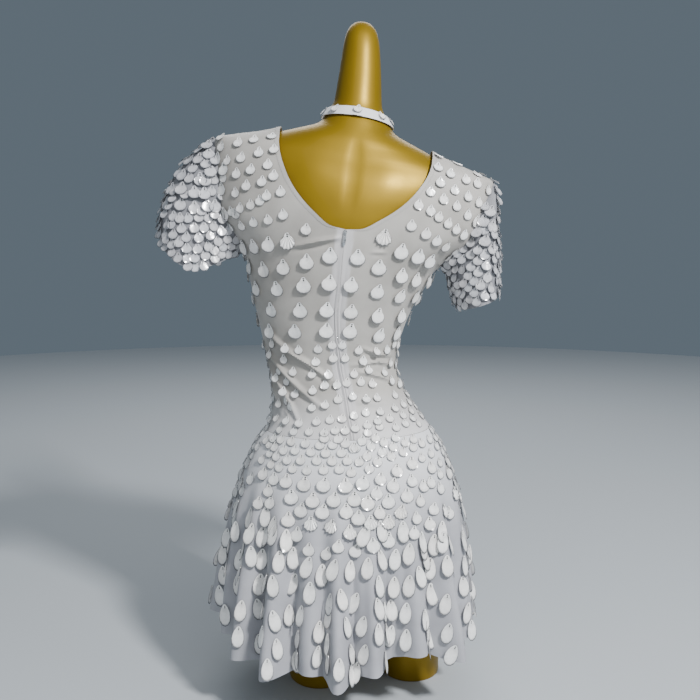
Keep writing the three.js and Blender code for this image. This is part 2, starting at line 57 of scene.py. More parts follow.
figure = table("z body fitted front back", [
    (214, 40, 40, 30, 34), (222, 92, 92, 56, 62), (236, 128, 128, 78, 84), (262, 150, 150, 90, 98),
    (300, 161, 161, 96, 107), (340, 162, 162, 95, 110), (380, 155, 155, 90, 106), (405, 145, 145, 87, 101),
    (428, 131, 131, 84, 95), (455, 116, 116, 79, 85), (485, 105, 105, 75, 78), (515, 101, 101, 73, 75),
    (545, 103, 103, 75, 77), (590, 113, 113, 82, 85), (642, 129, 129, 96, 92), (668, 137, 139, 103, 95),
    (690, 140, 146, 107, 97), (715, 144, 164, 106, 98), (757, 152, 205, 98, 97), (785, 160, 213, 91, 94),
    (820, 174, 218, 76, 86), (840, 180, 219, 67, 78), (853, 177, 217, 62, 72), (862, 164, 190, 58, 69),
    (872, 142, 152, 55, 65), (884, 112, 118, 52, 61), (892, 90, 94, 50, 57), (904, 61, 64, 47, 52),
    (918, 50, 50, 45, 47), (931, 43, 43, 42, 42), (943, 38, 38, 39, 39), (975, 34.5, 34.5, 36, 36),
    (1006, 31.5, 31.5, 33, 33), (1035, 28.5, 28.5, 30, 30), (1052, 25, 25, 26, 26), (1063, 20, 20, 20, 20),
    (1070, 13, 13, 13, 13),
])
thigh = table("z across deep apart", [
    (0, 49, 55, 78), (60, 55, 62, 77), (120, 62, 70, 77), (180, 69, 78, 77), (225, 73, 84, 77),
    (262, 68, 80, 76), (282, 48, 58, 74),
])
stance = table("z x y turn lean", [
    (0, 25, 9, 9, 0), (150, 12, 4, 8, 0), (300, 0, -4, 6, 0), (430, -4, -4, 5, 0), (460, -10, 0, 6, 0),
    (486, -18, 4, 9, 0), (512, -25, 7, 11, 0), (540, -29, 9, 10, 0.5), (570, -30, 9, 8, 1.5),
    (617, -28, 7, 5, 3), (668, -20, 3, 3, 4.5), (720, -12, 0, 1, 6), (800, 0, -4, 0, 8), (884, 10, 0, 0, 9),
    (943, 13, 12, 0, 9), (1003, 17, 27, 0, 6), (1073, 20, 44, 0, 5),
])
skirt = table("z half front back fold", [
    (60, 203, 180, 187, 1.05), (110, 202, 174, 181, 0.9), (160, 199, 164, 172, 0.7), (220, 194, 150, 158, 0.45),
    (270, 188, 137, 145, 0.25), (310, 181, 125, 134, 0.12), (345, 172, 112, 123, 0.04), (380, 159, 98, 110, 0),
    (405, 147, 89, 102, 0), (428, 131, 84, 95, 0),
])
flutes = table("turn ridge valley hem", [
    (-90, 28, 22, 124), (-73, 10, 18, 108), (-56, 24, 22, 90), (-38, 32, 20, 79), (-22, 9, 12, 88),
    (-8, 32, 16, 74), (6, 16, 34, 90), (30, 8, 26, 104), (46, 32, 24, 86), (68, 13, 24, 96), (90, 13, 22, 104),
    (109, 15, 24, 96), (125, 27, 18, 92), (143, 13, 22, 101), (160, 28, 24, 94), (178, 17, 20, 103),
    (194, 26, 25, 97), (213, 14, 22, 96), (230, 29, 20, 102), (248, 16, 24, 110), (270, 28, 22, 124),
])
neckline = table("x back front", [
    (0, 750, 800), (22, 753, 802), (47, 768, 809), (82, 798, 826), (105, 831, 849), (116, 860, 869),
    (118, 884, 884),
])
sleeves = {
    "left": table("s underX underZ overX overZ deep bulge y", [
        (0.35, -174, 713, -249, 862, 46, 12, -2), (0.6, -178, 711, -280, 820, 54, 16, -2),
        (0.8, -182, 709, -297, 782, 59, 24, -2), (1, -185, 706, -302, 744, 62, 34, -2),
    ]),
    "right": table("s underX underZ overX overZ deep bulge y", [
        (0.35, 152, 686, 231, 808, 45, 16, -3), (0.6, 157, 668, 233, 752, 52, 10, -3),
        (0.8, 163, 645, 236, 697, 60, 5, -3), (1, 171, 622, 236, 643, 66, 0, -3),
    ]),
}


# Smooth reading of table values with no overshoot, as the CAD reads them
def readSmooth(places, values, at):
    at = np.clip(at, places[0], places[-1])
    wide = (-1,) + (1,) * (values.ndim - 1)
    rise = np.diff(values, axis=0) / np.diff(places).reshape(wide)
    before, after = rise[:-1], rise[1:]
    both = before * after
    middle = np.where(both > 0, 2 * both / np.where(both > 0, before + after, 1), 0)
    slope = np.concatenate([rise[:1], middle, rise[-1:]])
    i = np.clip(np.searchsorted(places, at, side="right") - 1, 0, len(places) - 2)
    span = places[i + 1] - places[i]
    t = (at - places[i]) / span
    if values.ndim > 1:
        span, t = span.reshape(wide), t.reshape(wide)
    blend = t * t * (3 - 2 * t)
    start = t * (1 - t) ** 2 * span * slope[i]
    end = t * t * (1 - t) * span * slope[i + 1]
    return values[i] * (1 - blend) + values[i + 1] * blend + start - end


def read(rows, key, at, along="z"):
    return readSmooth(rows[along], rows[key], np.asarray(at, float))


def smoothStep(at, low, high):
    t = np.clip((at - low) / (high - low), 0, 1)
    return t * t * (3 - 2 * t)


# Leans and turns points of the upright figure, by the stance at their height or at another
def stand(p, level=None):
    level = p[..., 2] if level is None else np.full(p.shape[:-1], float(level))
    turn = np.radians(read(stance, "turn", level))
    lean = np.radians(read(stance, "lean", level))
    across = p[..., 0] * np.cos(lean)
    x = read(stance, "x", level) + across * np.cos(turn) - p[..., 1] * np.sin(turn) - footprint[0]
    y = read(stance, "y", level) + across * np.sin(turn) + p[..., 1] * np.cos(turn) - footprint[1]
    return np.stack([x, y, p[..., 2] - p[..., 0] * np.sin(lean)], -1)


def section(half, front, back, turn, z):
    deep = np.where(np.cos(turn) > 0, back, front)
    return np.stack([half * np.sin(turn), -deep * np.cos(turn), z + 0 * turn], -1)


def onFigure(width):
    def surface(turn, z):
        return section(read(figure, width, z), read(figure, "front", z), read(figure, "back", z), turn, z)
    return surface


onFitted, onBody = onFigure("fitted"), onFigure("body")


# Flutes of the skirt: how far a place stands out of the plain flare, and where its hem lies
def flute(turn):
    at = (np.degrees(turn) + 90) % 360 - 90
    i = np.clip(np.searchsorted(flutes["turn"], at, side="right") - 1, 0, len(flutes["turn"]) - 2)
    t = (at - flutes["turn"][i]) / (flutes["turn"][i + 1] - flutes["turn"][i])
    crest = 0.5 + 0.5 * np.cos(2 * np.pi * t)
    blend = 0.5 - 0.5 * np.cos(np.pi * t)
    ridge = flutes["ridge"][i] * (1 - blend) + flutes["ridge"][i + 1] * blend
    hem = flutes["hem"][i] * (1 - blend) + flutes["hem"][i + 1] * blend
    return ridge * crest - flutes["valley"][i] * (1 - crest), hem


# Small uneven waves between the flutes, as a light knit hangs
def ripple(turn):
    fine = 2.3 * np.sin(37 * turn + 2.1) + 0.9 * np.sin(71 * turn)
    return 2.6 * np.sin(19 * turn + 0.7) + fine * np.sin(2.3 * turn + 1)


def onSkirt(turn, z):
    fold = read(skirt, "fold", z)
    out = flute(turn)[0] * fold + ripple(turn) * smoothStep(fold, 0, 0.6)
    half, front, back = (read(skirt, key, z) + out for key in ("half", "front", "back"))
    return section(half, front, back, turn, z)


def outward(surface, turn, z):
    across = surface(turn + 0.01, z) - surface(turn - 0.01, z)
    along = surface(turn, z + 1) - surface(turn, z - 1)
    normal = np.cross(across, along)
    return normal / np.linalg.norm(normal, axis=-1, keepdims=True)


def easeAt(z):
    return cloth["ease"] + cloth["shoulderEase"] * smoothStep(z, 830, 875)


def clothAt(surface, turn, z, more=0, level=None):
    lift = (easeAt(z) + cloth["wall"] + more)[..., None]
    return stand(surface(turn, z) + outward(surface, turn, z) * lift, level)


# The photograph's camera in mm, its downward angle in degrees, its focal length and middle in pixels
camera = {"place": (33, -1586, 789), "down": 8.36, "focal": 1000, "middle": 350}


def pixelRay(across, down):
    tilt = math.radians(camera["down"])
    forward = np.array([0, math.cos(tilt), -math.sin(tilt)])
    upward = np.array([0, math.sin(tilt), math.cos(tilt)])
    ray = forward - upward * (down - camera["middle"]) / camera["focal"]
    ray[0] = (across - camera["middle"]) / camera["focal"]
    return np.array(camera["place"], float), ray


def onPlane(across, down, y):
    eye, ray = pixelRay(across, down)
    return eye + ray * (y - eye[1]) / ray[1]


# Creases of the bodice: lines with a width and a height, a ridge with a trough under it.
# Those of the back run where the photograph shows them, given in its pixels.
backCreases = [
    ([(265, 335), (289, 353), (311, 366), (331, 382)], 3.4, 7.5),
    ([(261, 351), (281, 373), (300, 391), (322, 408)], 4.0, 6.8),
    ([(265, 366), (276, 385), (288, 402), (299, 424)], 3.6, 5.8),
    ([(269, 389), (275, 402), (281, 418)], 3.6, 3.8),
    ([(391, 361), (376, 356), (361, 349)], 3.0, 5.5),
    ([(395, 371), (378, 365), (350, 367)], 2.8, 4.0),
    ([(394, 388), (384, 382), (371, 377), (357, 374)], 2.8, 4.5),
    ([(408, 396), (396, 388)], 3.2, 3.8),
    ([(352, 401), (372, 405), (392, 407)], 4.4, 2.2),
    ([(294, 246), (318, 241), (340, 237)], 3.4, 7.0),
    ([(371, 252), (386, 252)], 2.6, 2.0),
]
frontCreases = [
    ([(-62, 590), (-30, 566), (0, 549)], 4.0, 5.5), ([(-74, 556), (-40, 530), (-8, 512)], 4.4, 5.8),
    ([(-70, 524), (-42, 496), (-20, 462)], 4.0, 4.8), ([(112, 556), (84, 548), (56, 541)], 3.6, 4.8),
    ([(116, 528), (86, 512), (60, 506)], 3.6, 4.0), ([(-92, 690), (-60, 676), (-34, 650)], 4.4, 3.2),
    ([(150, 668), (118, 662), (92, 640)], 4.2, 3.0),
]


def creaseLift(points, lines, faceY):
    lift = np.zeros(points.shape[:-1])
    for line, width, height in lines:
        if faceY is None:
            spots = np.array([(x, z) for x, z in line], float)
        else:
            spots = np.array([onPlane(px, py, faceY)[[0, 2]] for px, py in line])
        total = len(spots) - 1
        best = np.full(lift.shape, 1e9)
        side = np.zeros(lift.shape)
        share = np.zeros(lift.shape)
        for k in range(total):
            a, b = spots[k], spots[k + 1]
            along = b - a
            rel = points[..., [0, 2]] - a
            t = np.clip(rel @ along / (along @ along), 0, 1)
            off = rel - t[..., None] * along
            gap = np.linalg.norm(off, axis=-1)
            nearer = gap < best
            best = np.where(nearer, gap, best)
            side = np.where(nearer, np.sign(along[0] * rel[..., 1] - along[1] * rel[..., 0]) * gap, side)
            share = np.where(nearer, (k + t) / total, share)
        fade = np.sin(np.pi * np.clip(0.06 + 0.9 * share, 0, 1)) ** 0.8
        fade = fade * np.exp(-np.clip(best - 4 * width, 0, None))
        ridge = np.exp(-(best / width) ** 2)
        trough = np.exp(-((side + 1.9 * width * np.sign(spots[-1][0] - spots[0][0])) / (1.3 * width)) ** 2)
        lift += height * fade * (ridge - 0.35 * trough)
    return lift


def linked(name, data):
    piece = bpy.data.objects.new(name, data)
    bpy.context.scene.collection.objects.link(piece)
    return piece


def meshOf(box, name):
    mesh = bpy.data.meshes.new(name)
    box.to_mesh(mesh)
    box.free()
    return mesh


def mended(mesh, change):
    box = bmesh.new()
    box.from_mesh(mesh)
    change(box)
    box.to_mesh(mesh)
    box.free()


def quadsOf(rows, columns, closed):
    index = np.arange(rows * columns).reshape(rows, columns)
    if closed:
        index = np.concatenate([index, index[:, :1]], 1)
    return index[:-1, :-1], index[:-1, 1:], index[1:, 1:], index[1:, :-1]


def lengthAlong(points):
    return np.concatenate([[0], np.linalg.norm(np.diff(points, axis=0), axis=1).cumsum()])


def splitFaces(faces, split):
    return faces if split is None else np.delete(faces, split, axis=1)


# A mesh from rows of points, outside up; at a split two halves meet that part higher up
def gridMesh(name, grid, flip=False, closed=False, split=None):
    rows, columns = grid.shape[:2]
    a, b, c, d = quadsOf(rows, columns, closed)
    faces = splitFaces(np.stack([a, d, c, b] if flip else [a, b, c, d], -1), split).reshape(-1, 4)
    mesh = bpy.data.meshes.new(name)
    mesh.from_pydata((grid.reshape(-1, 3) / 1000).tolist(), [], faces.tolist())
    wide = np.concatenate([grid, grid[:, :1]], 1) if closed else grid
    across = np.linalg.norm(np.diff(wide, axis=1), axis=2).cumsum(1)
    across = np.concatenate([np.zeros((rows, 1)), across], 1)
    upward = np.linalg.norm(np.diff(wide, axis=0), axis=2).cumsum(0)
    upward = np.concatenate([np.zeros((1, wide.shape[1])), upward], 0)
    u, v = across / 1000, upward / 1000
    corners = [(0, 0), (1, 0), (1, 1), (0, 1)] if flip else [(0, 0), (0, 1), (1, 1), (1, 0)]
    layer = mesh.uv_layers.new(name="weave")
    spots = [np.stack([k[j:rows - 1 + j, i:k.shape[1] - 1 + i] for k in (u, v)], -1) for j, i in corners]
    layer.data.foreach_set("uv", splitFaces(np.stack(spots, 2), split).reshape(-1))
    mesh.shade_smooth()
    return linked(name, mesh)


def addNode(tree, kind, inputs=None, **settings):
    node = tree.nodes.new(kind)
    for name, value in settings.items():
        setattr(node, name, value)
    for name, value in (inputs or {}).items():
        if isinstance(value, bpy.types.NodeSocket):
            tree.links.new(value, node.inputs[name])
        else:
            node.inputs[name].default_value = value
    return node


def linear(hexColour):
    parts = [int(hexColour[i:i + 2], 16) / 255 for i in (1, 3, 5)]
    return tuple(c / 12.92 if c <= 0.04045 else ((c + 0.055) / 1.055) ** 2.4 for c in parts) + (1,)


def newMaterial(name, hexColour, **values):
    material = bpy.data.materials.new(name)
    material.use_nodes = True
    shader = material.node_tree.nodes["Principled BSDF"]
    shader.inputs["Base Color"].default_value = linear(hexColour)
    for socket, value in values.items():
        shader.inputs[socket.replace("_", " ")].default_value = value
    material.diffuse_color = linear(hexColour)
    return material, material.node_tree, shader


def placeIn(tree):
    return addNode(tree, "ShaderNodeTexCoord").outputs["Object"]


def noiseOn(tree, coordinate, scale, detail=3.0):
    noise = addNode(tree, "ShaderNodeTexNoise", {"Vector": coordinate, "Scale": scale, "Detail": detail})
    return noise.outputs["Fac"]


def bumpOn(tree, shader, height, strength, distance):
    bump = addNode(tree, "ShaderNodeBump", {"Height": height, "Strength": strength, "Distance": distance})
    tree.links.new(bump.outputs["Normal"], shader.inputs["Normal"])


def blendColour(tree, share, first, second):
    return addNode(tree, "ShaderNodeMix", {0: share, 6: first, 7: second}, data_type="RGBA").outputs[2]


def spreadOut(tree, value, low, high, toLow=0.0, toHigh=1.0):
    return addNode(tree, "ShaderNodeMapRange", {
        "Value": value, "From Min": low, "From Max": high, "To Min": toLow, "To Max": toHigh,
    }).outputs["Result"]


# Chromed fibreglass under a satin gold lacquer: broad soft highlights, faint polish marks
gildedForm = {"gold": "#8A7014", "deep": "#816812", "roughness": 0.42, "marksMm": 6}


def gildedMaterial():
    material, tree, shader = newMaterial("gold lacquered chrome", gildedForm["gold"], Metallic=0.5,
                                         Specular_IOR_Level=0.3)
    where = placeIn(tree)
    cloud = noiseOn(tree, where, 9.0)
    colour = blendColour(tree, spreadOut(tree, cloud, 0.35, 0.75), linear(gildedForm["gold"]),
                         linear(gildedForm["deep"]))
    tree.links.new(colour, shader.inputs["Base Color"])
    marks = noiseOn(tree, where, 1000 / gildedForm["marksMm"], 5.0)
    rough = spreadOut(tree, marks, 0.3, 0.8, gildedForm["roughness"] - 0.02, gildedForm["roughness"] + 0.02)
    tree.links.new(rough, shader.inputs["Roughness"])
    bumpOn(tree, shader, noiseOn(tree, where, 22.0, 2.0), 0.02, 0.002)
    return material


# Polyamide and elastane knit, dull side of a stretch satin. Its wales lie 0.5 mm apart and are
# drawn at 1.5 mm, so that they show.
knit = {"walesMm": 1.5, "coursesMm": 1.7, "depthMm": 0.12}


# fade: painted light, a paler colour for cloth that faces up into the light, and the heights in mm between which it
# takes over
def knitMaterial(name, pale, shade, strip=None, fade=None):
    material, tree, shader = newMaterial(name, pale, Roughness=0.58, Sheen_Weight=0.22, Sheen_Roughness=0.4,
                                         Specular_IOR_Level=0.42)
    weave = addNode(tree, "ShaderNodeUVMap", uv_map="weave").outputs["UV"]
    where = placeIn(tree)
    turned = addNode(tree, "ShaderNodeMapping", {
        "Vector": weave, "Scale": (1000 / knit["walesMm"], 1000 / knit["coursesMm"], 1),
    }).outputs["Vector"]
    stitch = addNode(tree, "ShaderNodeTexVoronoi", {"Vector": turned, "Scale": 1.0, "Randomness": 0.25},
                     voronoi_dimensions="2D").outputs["Distance"]
    cloud = noiseOn(tree, where, 14.0, 4.0)
    colour = blendColour(tree, spreadOut(tree, cloud, 0.38, 0.66), linear(pale), linear(shade))
    # painted light: the cloth turns paler between the given heights, where it faces up into the light
    if fade:
        height = addNode(tree, "ShaderNodeSeparateXYZ", {"Vector": where}).outputs["Z"]
        paintedLightShare = spreadOut(tree, height, fade[1] / 1000, fade[2] / 1000)
        colour = blendColour(tree, paintedLightShare, colour, linear(fade[0]))
    if strip:
        band = addNode(tree, "ShaderNodeAttribute", attribute_name="zipStrip").outputs["Fac"]
        colour = blendColour(tree, band, colour, linear(strip))
    loops = spreadOut(tree, stitch, 0.2, 0.7, 0.0, 0.10)
    colour = blendColour(tree, loops, colour, linear(shade))
    tree.links.new(colour, shader.inputs["Base Color"])
    bumpOn(tree, shader, stitch, 0.25, knit["depthMm"] / 1000)
    return material


# Paillettes punched from pearl PVC film: milky and glossy, with a painted dark rim that stands in for the shadow
# line at their edges, and painted dark dots for the shade seen through their holes. The sleeves take a darker,
# greyer copy of the film as painted shade.
pearl = {"milk": "#FAFBFA", "grey": "#D3D5D5", "warm": "#F6F3EF", "hole": "#2C2D2F", "holeRadius": 0.05,
         "rim": "#54565A", "paintedRimShadeFrom": 0.88}
# painted shade: the same pearl film, darker and greyer, for the sleeves, which lie in shade
shadedPearl = dict(pearl, milk="#C0C2C8", grey="#989AA0", warm="#BCBBBE", rim="#44464B")


def pearlMaterial(name, pearl):
    material, tree, shader = newMaterial(name, pearl["milk"], Roughness=0.22, IOR=1.53,
                                         Coat_Weight=0.5, Coat_Roughness=0.06, Subsurface_Weight=0.35,
                                         Subsurface_Scale=0.002, Subsurface_Radius=(1, 1, 1))
    lot = addNode(tree, "ShaderNodeAttribute", attribute_name="lot").outputs["Fac"]
    outward = addNode(tree, "ShaderNodeAttribute", attribute_name="outward").outputs["Fac"]
    where = placeIn(tree)
    milk = blendColour(tree, lot, linear(pearl["milk"]), linear(pearl["warm"]))
    cloud = spreadOut(tree, noiseOn(tree, where, 160.0, 2.0), 0.4, 0.7, 0.0, 0.35)
    milk = blendColour(tree, cloud, milk, linear(pearl["grey"]))
    # painted shade: a dark line along each disc's outer edge stands in for the shadow line at its rim
    rim = spreadOut(tree, outward, pearl["paintedRimShadeFrom"], 0.97)
    milk = blendColour(tree, rim, milk, linear(pearl["rim"]))
    eye = addNode(tree, "ShaderNodeUVMap", uv_map="eye").outputs["UV"]
    # painted shade: two dark dots for the holes, the upper one around the punched hole, standing in for the shaded
    # cloth seen through them
    for down in (0.0, -0.12):
        apart = addNode(tree, "ShaderNodeVectorMath", {0: eye, 1: (0.0, down, 0.0)}, operation="DISTANCE")
        hole = spreadOut(tree, apart.outputs["Value"], pearl["holeRadius"], pearl["holeRadius"] + 0.008, 1.0, 0.0)
        milk = blendColour(tree, hole, milk, linear(pearl["hole"]))
    tree.links.new(milk, shader.inputs["Base Color"])
    bumpOn(tree, shader, noiseOn(tree, where, 420.0, 2.0), 0.12, 0.0004)
    return material


# Spun polyester sewing thread, matt with a twist that is too fine to show
def threadMaterial():
    material, tree, shader = newMaterial("polyester sewing thread", "#A9A7A6", Roughness=0.75, Sheen_Weight=0.3)
    where = placeIn(tree)
    twist = noiseOn(tree, where, 900.0, 2.0)
    tree.links.new(blendColour(tree, twist, linear("#B9B7B5"), linear("#8B8988")), shader.inputs["Base Color"])
    return material


# Woven polyester zip tape and nylon coil: dull with a fine rib across
def tapeMaterial():
    material, tree, shader = newMaterial("woven polyester zip tape", "#C9C7C6", Roughness=0.6, Sheen_Weight=0.15)
    where = placeIn(tree)
    rib = addNode(tree, "ShaderNodeTexWave", {"Vector": where, "Scale": 320.0, "Distortion": 0.4},
                  bands_direction="Z").outputs["Fac"]
    tree.links.new(blendColour(tree, rib, linear("#B4B2B1"), linear("#D8D6D5")), shader.inputs["Base Color"])
    bumpOn(tree, shader, rib, 0.3, 0.0002)
    return material


# Zinc die casting, tumbled and nickel plated: bright with soft rub marks
def nickelMaterial():
    material, tree, shader = newMaterial("nickel plated zinc", "#C4C7CA", Metallic=1.0)
    where = placeIn(tree)
    rub = noiseOn(tree, where, 500.0, 4.0)
    tree.links.new(spreadOut(tree, rub, 0.3, 0.8, 0.16, 0.34), shader.inputs["Roughness"])
    tree.links.new(blendColour(tree, rub, linear("#D4D6D8"), linear("#9FA3A8")), shader.inputs["Base Color"])
    return material


goldFinish = gildedMaterial()
# painted light: the bodice pales towards the hip seam, where it swells out and faces up into the light
bodiceFinish = knitMaterial("stretch knit, warm white", "#A8A5A0", "#96938E", strip="#B9B7B8",
                            fade=("#CDCCCD", hipSeam + 70, hipSeam + 5))
# sheer knit: its cool tint is the cloth's own, its darker tone is painted shade for sleeves that lie in shade
sleeveShadedFinish = knitMaterial("stretch knit, sheer, painted shade", "#828388", "#74757A")
# painted light: the skirt pales towards its top, where the flare faces up into the light
skirtFinish = knitMaterial("stretch knit, cool white", "#A4A5AB", "#94959B",
                           fade=("#D8D9DC", hipSeam - 150, hipSeam - 30))
pearlFinish = pearlMaterial("pearl PVC film", pearl)
shadedPearlFinish = pearlMaterial("pearl PVC film, painted shade", shadedPearl)
threadFinish = threadMaterial()
tapeFinish = tapeMaterial()
nickelFinish = nickelMaterial()
bodyName = "dress_on_form"
panels = {}


def treeOf(grid, closed=False, split=None):
    wide = np.concatenate([grid, grid[:, :1]], 1) if closed else grid
    rows, columns = wide.shape[:2]
    faces = splitFaces(np.stack(quadsOf(rows, columns, False), -1), split).reshape(-1, 4).tolist()
    return BVHTree.FromPolygons([Vector(p) for p in wide.reshape(-1, 3).tolist()], faces)


# Gives a sheet its wall, with hems that keep a crisp edge
def thicken(piece, thickness):
    wall = piece.modifiers.new("wall", "SOLIDIFY")
    wall.thickness, wall.offset, wall.use_rim = thickness / 1000, -1, True
    bpy.context.view_layer.update()
    depsgraph = bpy.context.evaluated_depsgraph_get()
    mesh = bpy.data.meshes.new_from_object(piece.evaluated_get(depsgraph), depsgraph=depsgraph)
    piece.modifiers.remove(wall)
    piece.data = mesh
    mesh.set_sharp_from_angle(angle=math.radians(50))


def finishCloth(name, grid, material, flip=False, closed=False, thickness=None, strip=None, split=None):
    piece = gridMesh("cloth_" + name, grid, flip, closed, split)
    if split is not None:
        mended(piece.data, lambda box: bmesh.ops.remove_doubles(box, verts=box.verts, dist=1e-5))
    piece.data.materials.append(material)
    if strip is not None:
        layer = piece.data.attributes.new("zipStrip", "FLOAT", "POINT")
        layer.data.foreach_set("value", strip.reshape(-1))
    thicken(piece, thickness or cloth["thickness"])
    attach(piece, bodyName)
    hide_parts(name)
    panels[name] = {"grid": grid, "tree": treeOf(grid, closed, split), "sign": -1 if flip else 1}
    return piece


print("bodice")
# back and front: columns, rows below the neckline and rows beside it
bodice = {"back": (96, 140, 76), "front": (56, 84, 52), "lipMm": 1.5, "grooveMm": 0.7, "tapeMm": 0.35,
          "turnedMm": 0.4, "stripMm": 13, "stripTopMm": 752, "seamDipMm": 0.15, "seamTurn": 0.0008}


def armhole(angle, shrink=0):
    middle, reach = (shoulderEnd + underarm) / 2, (shoulderEnd - underarm) / 2 - shrink
    half = math.radians(armholeTurn) * (1 - 2 * shrink / (shoulderEnd - underarm))
    return middle + reach * np.cos(angle), np.pi / 2 - half * np.sin(angle)


def alongNeckline(side, shares):
    x = neckline["x"][-1] * np.sin(np.linspace(0, np.pi / 2, 400))
    z = readSmooth(neckline["x"], neckline[side], x)
    turn = np.arcsin(np.clip(x / read(figure, "fitted", z), -1, 1))
    length = lengthAlong(onFitted(turn, z))
    length = length / length[-1]
    return np.interp(shares, length, z), np.interp(shares, length, turn)


# Rows lie closer together towards the top
def rowHeight(share, top):
    return top - (top - hipSeam) * (1 - share) ** 1.25


# Height and turn over one bodice half, from its middle edge to its side edge
def halfBodice(side):
    columns, lowRows, highRows = bodice[side]
    low = np.linspace(0, 1, lowRows + 1)
    high = np.linspace(0, 1, highRows + 1)[1:]
    top = neckline[side][0]
    gap = 0.5 * zipHalf * smoothStep(low, 0.36, 0.42) if side == "back" else 0 * low
    lowZ = rowHeight(low, top)
    lowTurn = np.arcsin(gap / read(figure, "fitted", lowZ))
    neckZ, neckTurn = alongNeckline(side, high)
    innerZ = np.concatenate([lowZ, neckZ])
    innerTurn = np.concatenate([lowTurn, np.maximum(neckTurn, lowTurn[-1])])
    sideZ = rowHeight(low, underarm)
    armZ, armTurn = armhole(np.pi * (1 - high))
    outerZ = np.concatenate([sideZ, armZ])
    outerTurn = np.concatenate([np.full(len(low), np.pi / 2), armTurn])
    outerTurn = np.minimum(outerTurn, np.pi / 2 - bodice["seamTurn"])
    innerTurn = np.minimum(innerTurn, np.pi / 2 - bodice["seamTurn"])
    u = np.linspace(0, 1, columns + 1)
    z = innerZ[:, None] * (1 - u) + outerZ[:, None] * u
    turn = innerTurn[:, None] * (1 - u) + outerTurn[:, None] * u
    return z, turn


def edgeDistance(points):
    steps = np.linalg.norm(np.diff(points, axis=1), axis=2)
    fromInner = np.concatenate([np.zeros((len(points), 1)), steps.cumsum(1)], 1)
    return fromInner, fromInner[:, -1:] - fromInner


def hipDip(z):
    return -bodice["seamDipMm"] * np.exp(-((z - hipSeam) / 3.5) ** 2)


def bodiceLift(side, z, fromMiddle, base):
    fromInner, fromOuter = edgeDistance(base)
    low = np.arange(len(z))[:, None] <= bodice[side][1]
    lift = hipDip(z) - bodice["seamDipMm"] * np.exp(-(fromOuter / 3) ** 2)
    if side == "back":
        lift = lift + creaseLift(base, backCreases, -66)
        beside = read(figure, "fitted", z) * np.sin(fromMiddle)
        lip = bodice["lipMm"] * np.exp(-((beside - 1.9) / 1.4) ** 2)
        groove = bodice["grooveMm"] * np.exp(-((beside - 4.9) / 1.1) ** 2)
        tape = bodice["tapeMm"] * (1 - smoothStep(beside, 12.5, 15))
        lift = lift + np.where(low, lip - groove + tape, 0)
    else:
        lift = lift + creaseLift(base, frontCreases, None)
    turned = bodice["turnedMm"] * (1 - smoothStep(fromInner, 5.5, 7.5))
    return lift + np.where(low, 0, turned)


def bodiceHalfGrid(side, mirror):
    z, fromMiddle = halfBodice(side)
    turn = np.pi - mirror * fromMiddle if side == "front" else mirror * fromMiddle
    base = clothAt(onFitted, turn, z)
    grid = clothAt(onFitted, turn, z, bodiceLift(side, z, fromMiddle, base))
    step = 1 if (mirror > 0) == (side == "back") else -1
    return tuple(values[:, ::step] for values in (grid, fromMiddle, z))


def stripBeside(fromMiddle, z):
    beside = read(figure, "fitted", z) * np.sin(fromMiddle)
    inside = 1 - smoothStep(beside, bodice["stripMm"] - 1, bodice["stripMm"] + 1)
    return inside * (z < bodice["stripTopMm"])


for side, mirror in (("left", -1), ("right", 1)):
    grid, fromMiddle, z = bodiceHalfGrid("back", mirror)
    piece = finishCloth("bodice_back_" + side, grid, bodiceFinish,
                        strip=stripBeside(fromMiddle, z))
rightHalf = bodiceHalfGrid("front", 1)[0]
leftHalf = bodiceHalfGrid("front", -1)[0]
frontGrid = np.concatenate([rightHalf, leftHalf], 1)
piece = finishCloth("bodice_front", frontGrid, bodiceFinish, split=bodice["front"][0])

print("skirt")
skirtCut = {"columns": 240, "rows": 58}


def skirtGrid(start, end):
    turn = np.radians(np.linspace(start + 0.1, end - 0.1, skirtCut["columns"] + 1))[None, :]
    v = np.linspace(0, 1, skirtCut["rows"] + 1)[:, None]
    hem = flute(turn)[1]
    z = hem + (hipSeam - hem) * v
    return clothAt(onSkirt, turn + 0 * z, z, hipDip(z), level=hipSeam)


for name, start, end in (("skirt_back", -90, 90), ("skirt_front", 90, 270)):
    piece = finishCloth(name, skirtGrid(start, end), skirtFinish, thickness=0.8)

print("sleeves")
sleeveCut = {"rows": 40, "columns": 88}


def sleeveGrid(name, sign):
    rows = sleeves[name]
    angle = np.linspace(-np.pi, np.pi, sleeveCut["columns"] + 1)[:-1]
    shrink = 1.5 - 1.4 * np.cos(angle)
    holeZ, holeTurn = armhole(angle, shrink)
    knots, places = [], [0, 0.06]
    for lift in (0, cloth["wall"] + 0.8):
        turn = sign * holeTurn
        away = (easeAt(holeZ) + lift)[:, None]
        knots.append(stand(onFitted(turn, holeZ) + outward(onFitted, turn, holeZ) * away))
    for k, s in enumerate(rows["s"]):
        under = np.array([rows["underX"][k], rows["underZ"][k]])
        over = np.array([rows["overX"][k], rows["overZ"][k]])
        middle, reach = (under + over) / 2, (over - under) / 2
        away = np.array([reach[1], -reach[0]]) / np.hypot(*reach) * sign
        flat = middle + np.cos(angle)[:, None] * reach + (np.sin(angle) ** 2)[:, None] * away * rows["bulge"][k]
        y = rows["y"][k] - rows["deep"][k] * np.sin(angle) - footprint[1]
        knots.append(np.stack([flat[:, 0] - footprint[0], y, flat[:, 1]], -1))
        places.append(s)
    return readSmooth(np.array(places), np.array(knots), np.linspace(0, 1, sleeveCut["rows"] + 1))


for name, sign in (("left", -1), ("right", 1)):
    piece = finishCloth("sleeve_" + name, sleeveGrid(name, sign), sleeveShadedFinish,
                        flip=sign < 0, closed=True)

print("choker")
choker = {"low": 911, "high": 925, "rise": 0.17, "lapDegrees": 9, "lapMm": 1.5, "crownMm": 0.5}


